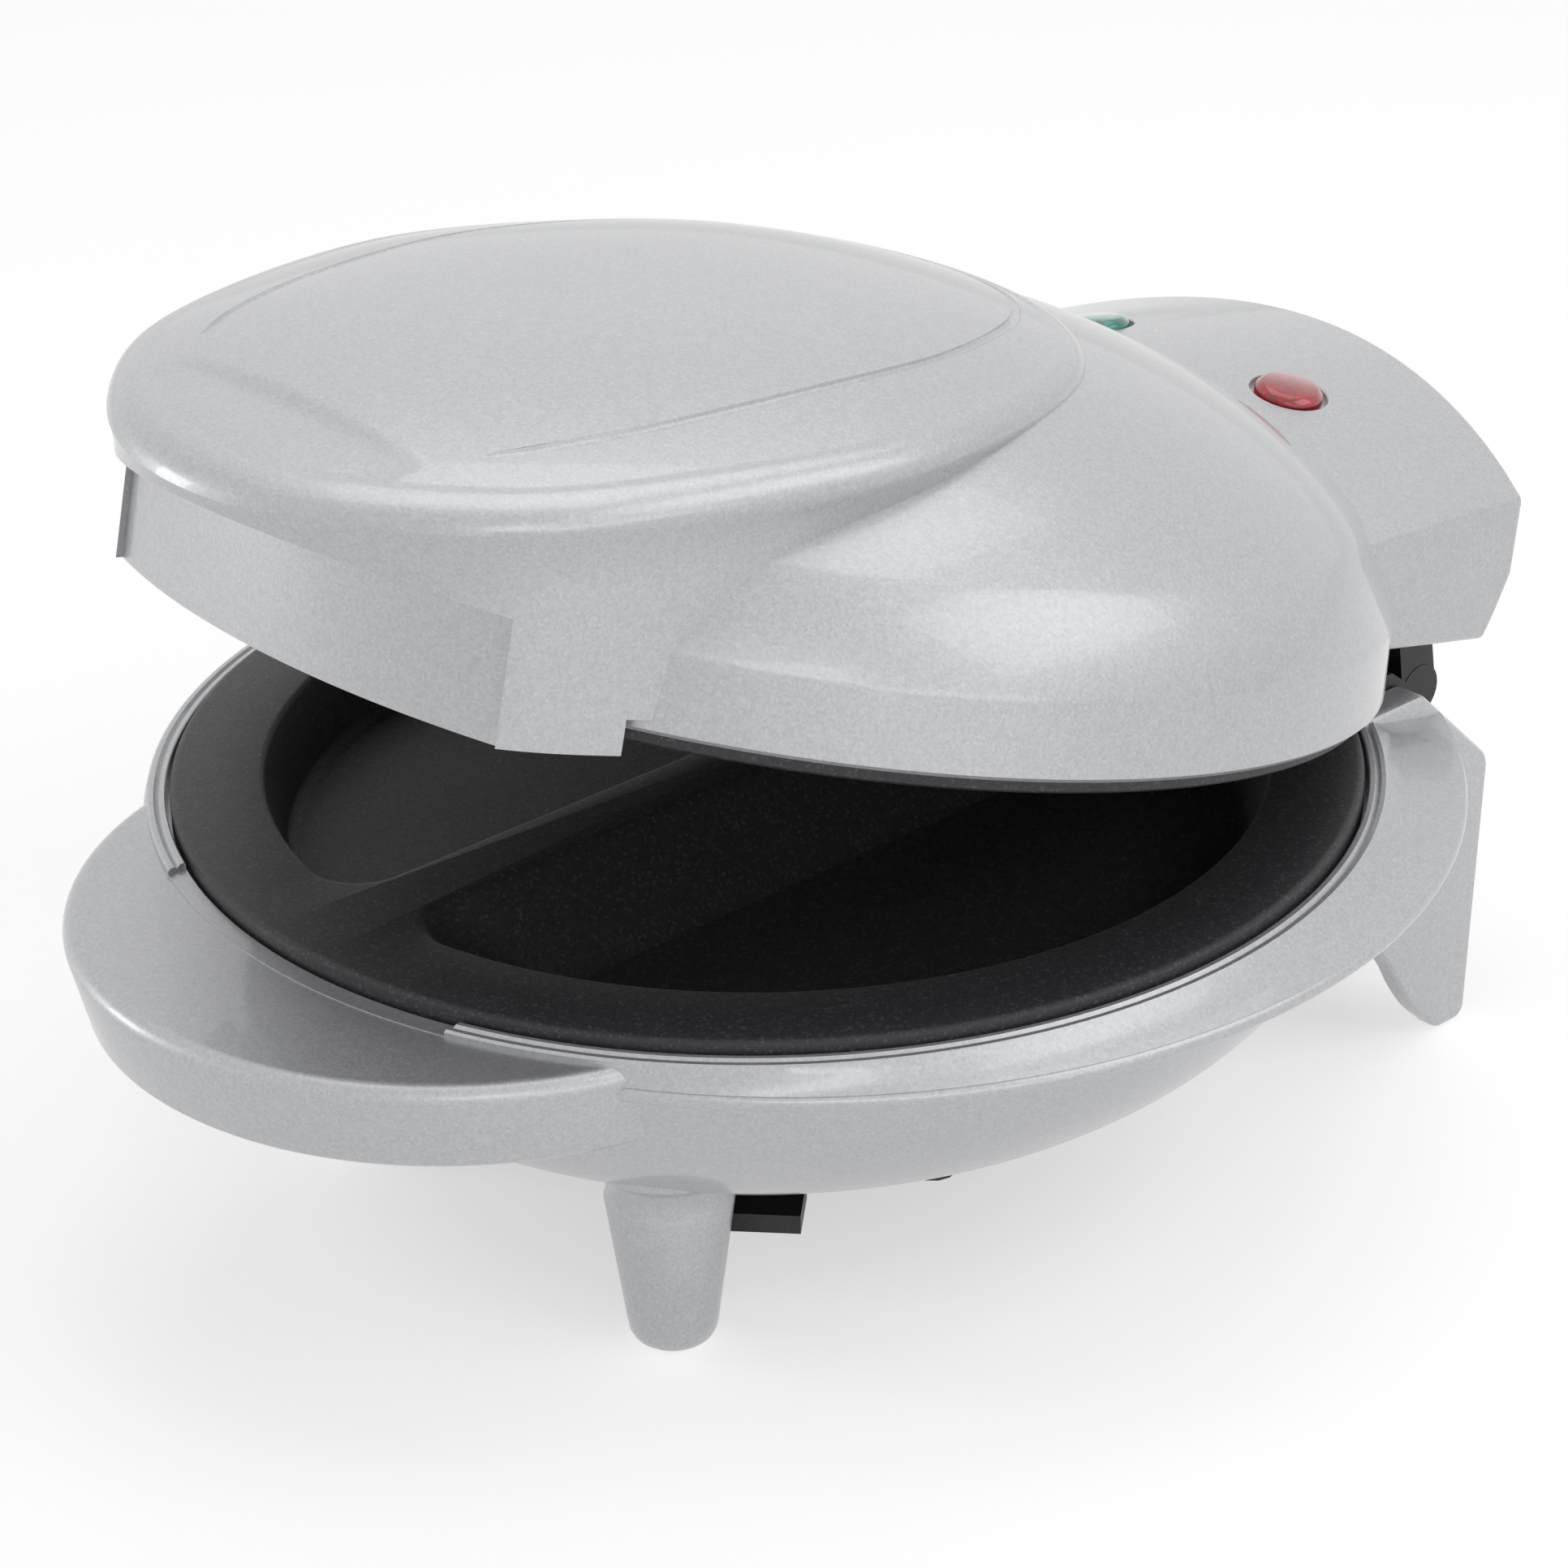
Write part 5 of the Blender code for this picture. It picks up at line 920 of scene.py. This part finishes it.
def studio_sky():
    """A dim even sky that looks white to the camera, to gloss and through glass."""
    world = bpy.data.worlds.new("studio")
    bpy.context.scene.world = world
    world.use_nodes = True
    tree = world.node_tree
    dim = tree.nodes["Background"]
    white = tree.nodes.new("ShaderNodeBackground")
    for light, strength in ((dim, SKY_AMBIENT), (white, SKY_SHOWN)):
        light.inputs["Color"].default_value = (1, 1, 1, 1)
        light.inputs["Strength"].default_value = strength
    choose = tree.nodes.new("ShaderNodeMixShader")
    tree.links.new(ray_share(tree, "Is Camera Ray", "Is Transmission Ray", "Is Glossy Ray"),
                   choose.inputs["Fac"])
    tree.links.new(dim.outputs[0], choose.inputs[1])
    tree.links.new(white.outputs[0], choose.inputs[2])
    tree.links.new(choose.outputs[0], tree.nodes["World Output"].inputs["Surface"])


def softbox(name, place, size, power, aim_z=0.08):
    """A rectangular studio lamp that looks at a height above the object's middle."""
    data = bpy.data.lights.new(name, "AREA")
    data.shape = "RECTANGLE"
    data.size, data.size_y = size
    data.energy = power
    lamp = bpy.data.objects.new(name, data)
    lamp.location = place
    lamp.rotation_euler = (Vector((0, 0, aim_z)) - Vector(place)).to_track_quat("-Z", "Y").to_euler()
    bpy.context.scene.collection.objects.link(lamp)


def photo_camera():
    """The camera at the photograph's place, angle and lens."""
    back = Vector((math.sin(CAMERA_AZ) * math.cos(CAMERA_EL), -math.cos(CAMERA_AZ) * math.cos(CAMERA_EL),
                   math.sin(CAMERA_EL)))
    right = Vector((math.cos(CAMERA_AZ), math.sin(CAMERA_AZ), 0))
    up = back.cross(right)
    side_axis = right * math.cos(CAMERA_ROLL) + up * math.sin(CAMERA_ROLL)
    up_axis = up * math.cos(CAMERA_ROLL) - right * math.sin(CAMERA_ROLL)
    data = bpy.data.cameras.new("photo_camera")
    data.sensor_width = CAMERA_SENSOR
    data.lens = CAMERA_LENS
    camera = bpy.data.objects.new("photo_camera", data)
    turn = Matrix((side_axis, up_axis, back)).transposed().to_4x4()
    camera.matrix_world = Matrix.Translation(Vector(CAMERA_PLACE) * MM) @ turn
    bpy.context.scene.collection.objects.link(camera)
    bpy.context.scene.camera = camera


pale_floor()
studio_sky()
softbox("top_light", (-0.15, 0.25, 1.35), (1.2, 1.2), 4.4)
softbox("right_light", (1.00, 0.45, 0.95), (1.10, 0.70), 3.1)
softbox("low_light", (1.25, -0.25, 0.27), (0.80, 0.34), 0.9, 0.07)
softbox("front_light", (-0.95, -0.80, 0.32), (0.30, 0.40), 1.7)
softbox("fill_light", (1.06, -0.86, 0.66), (0.55, 0.40), 1.2)
photo_camera()
bpy.context.scene.view_settings.view_transform = "Standard"
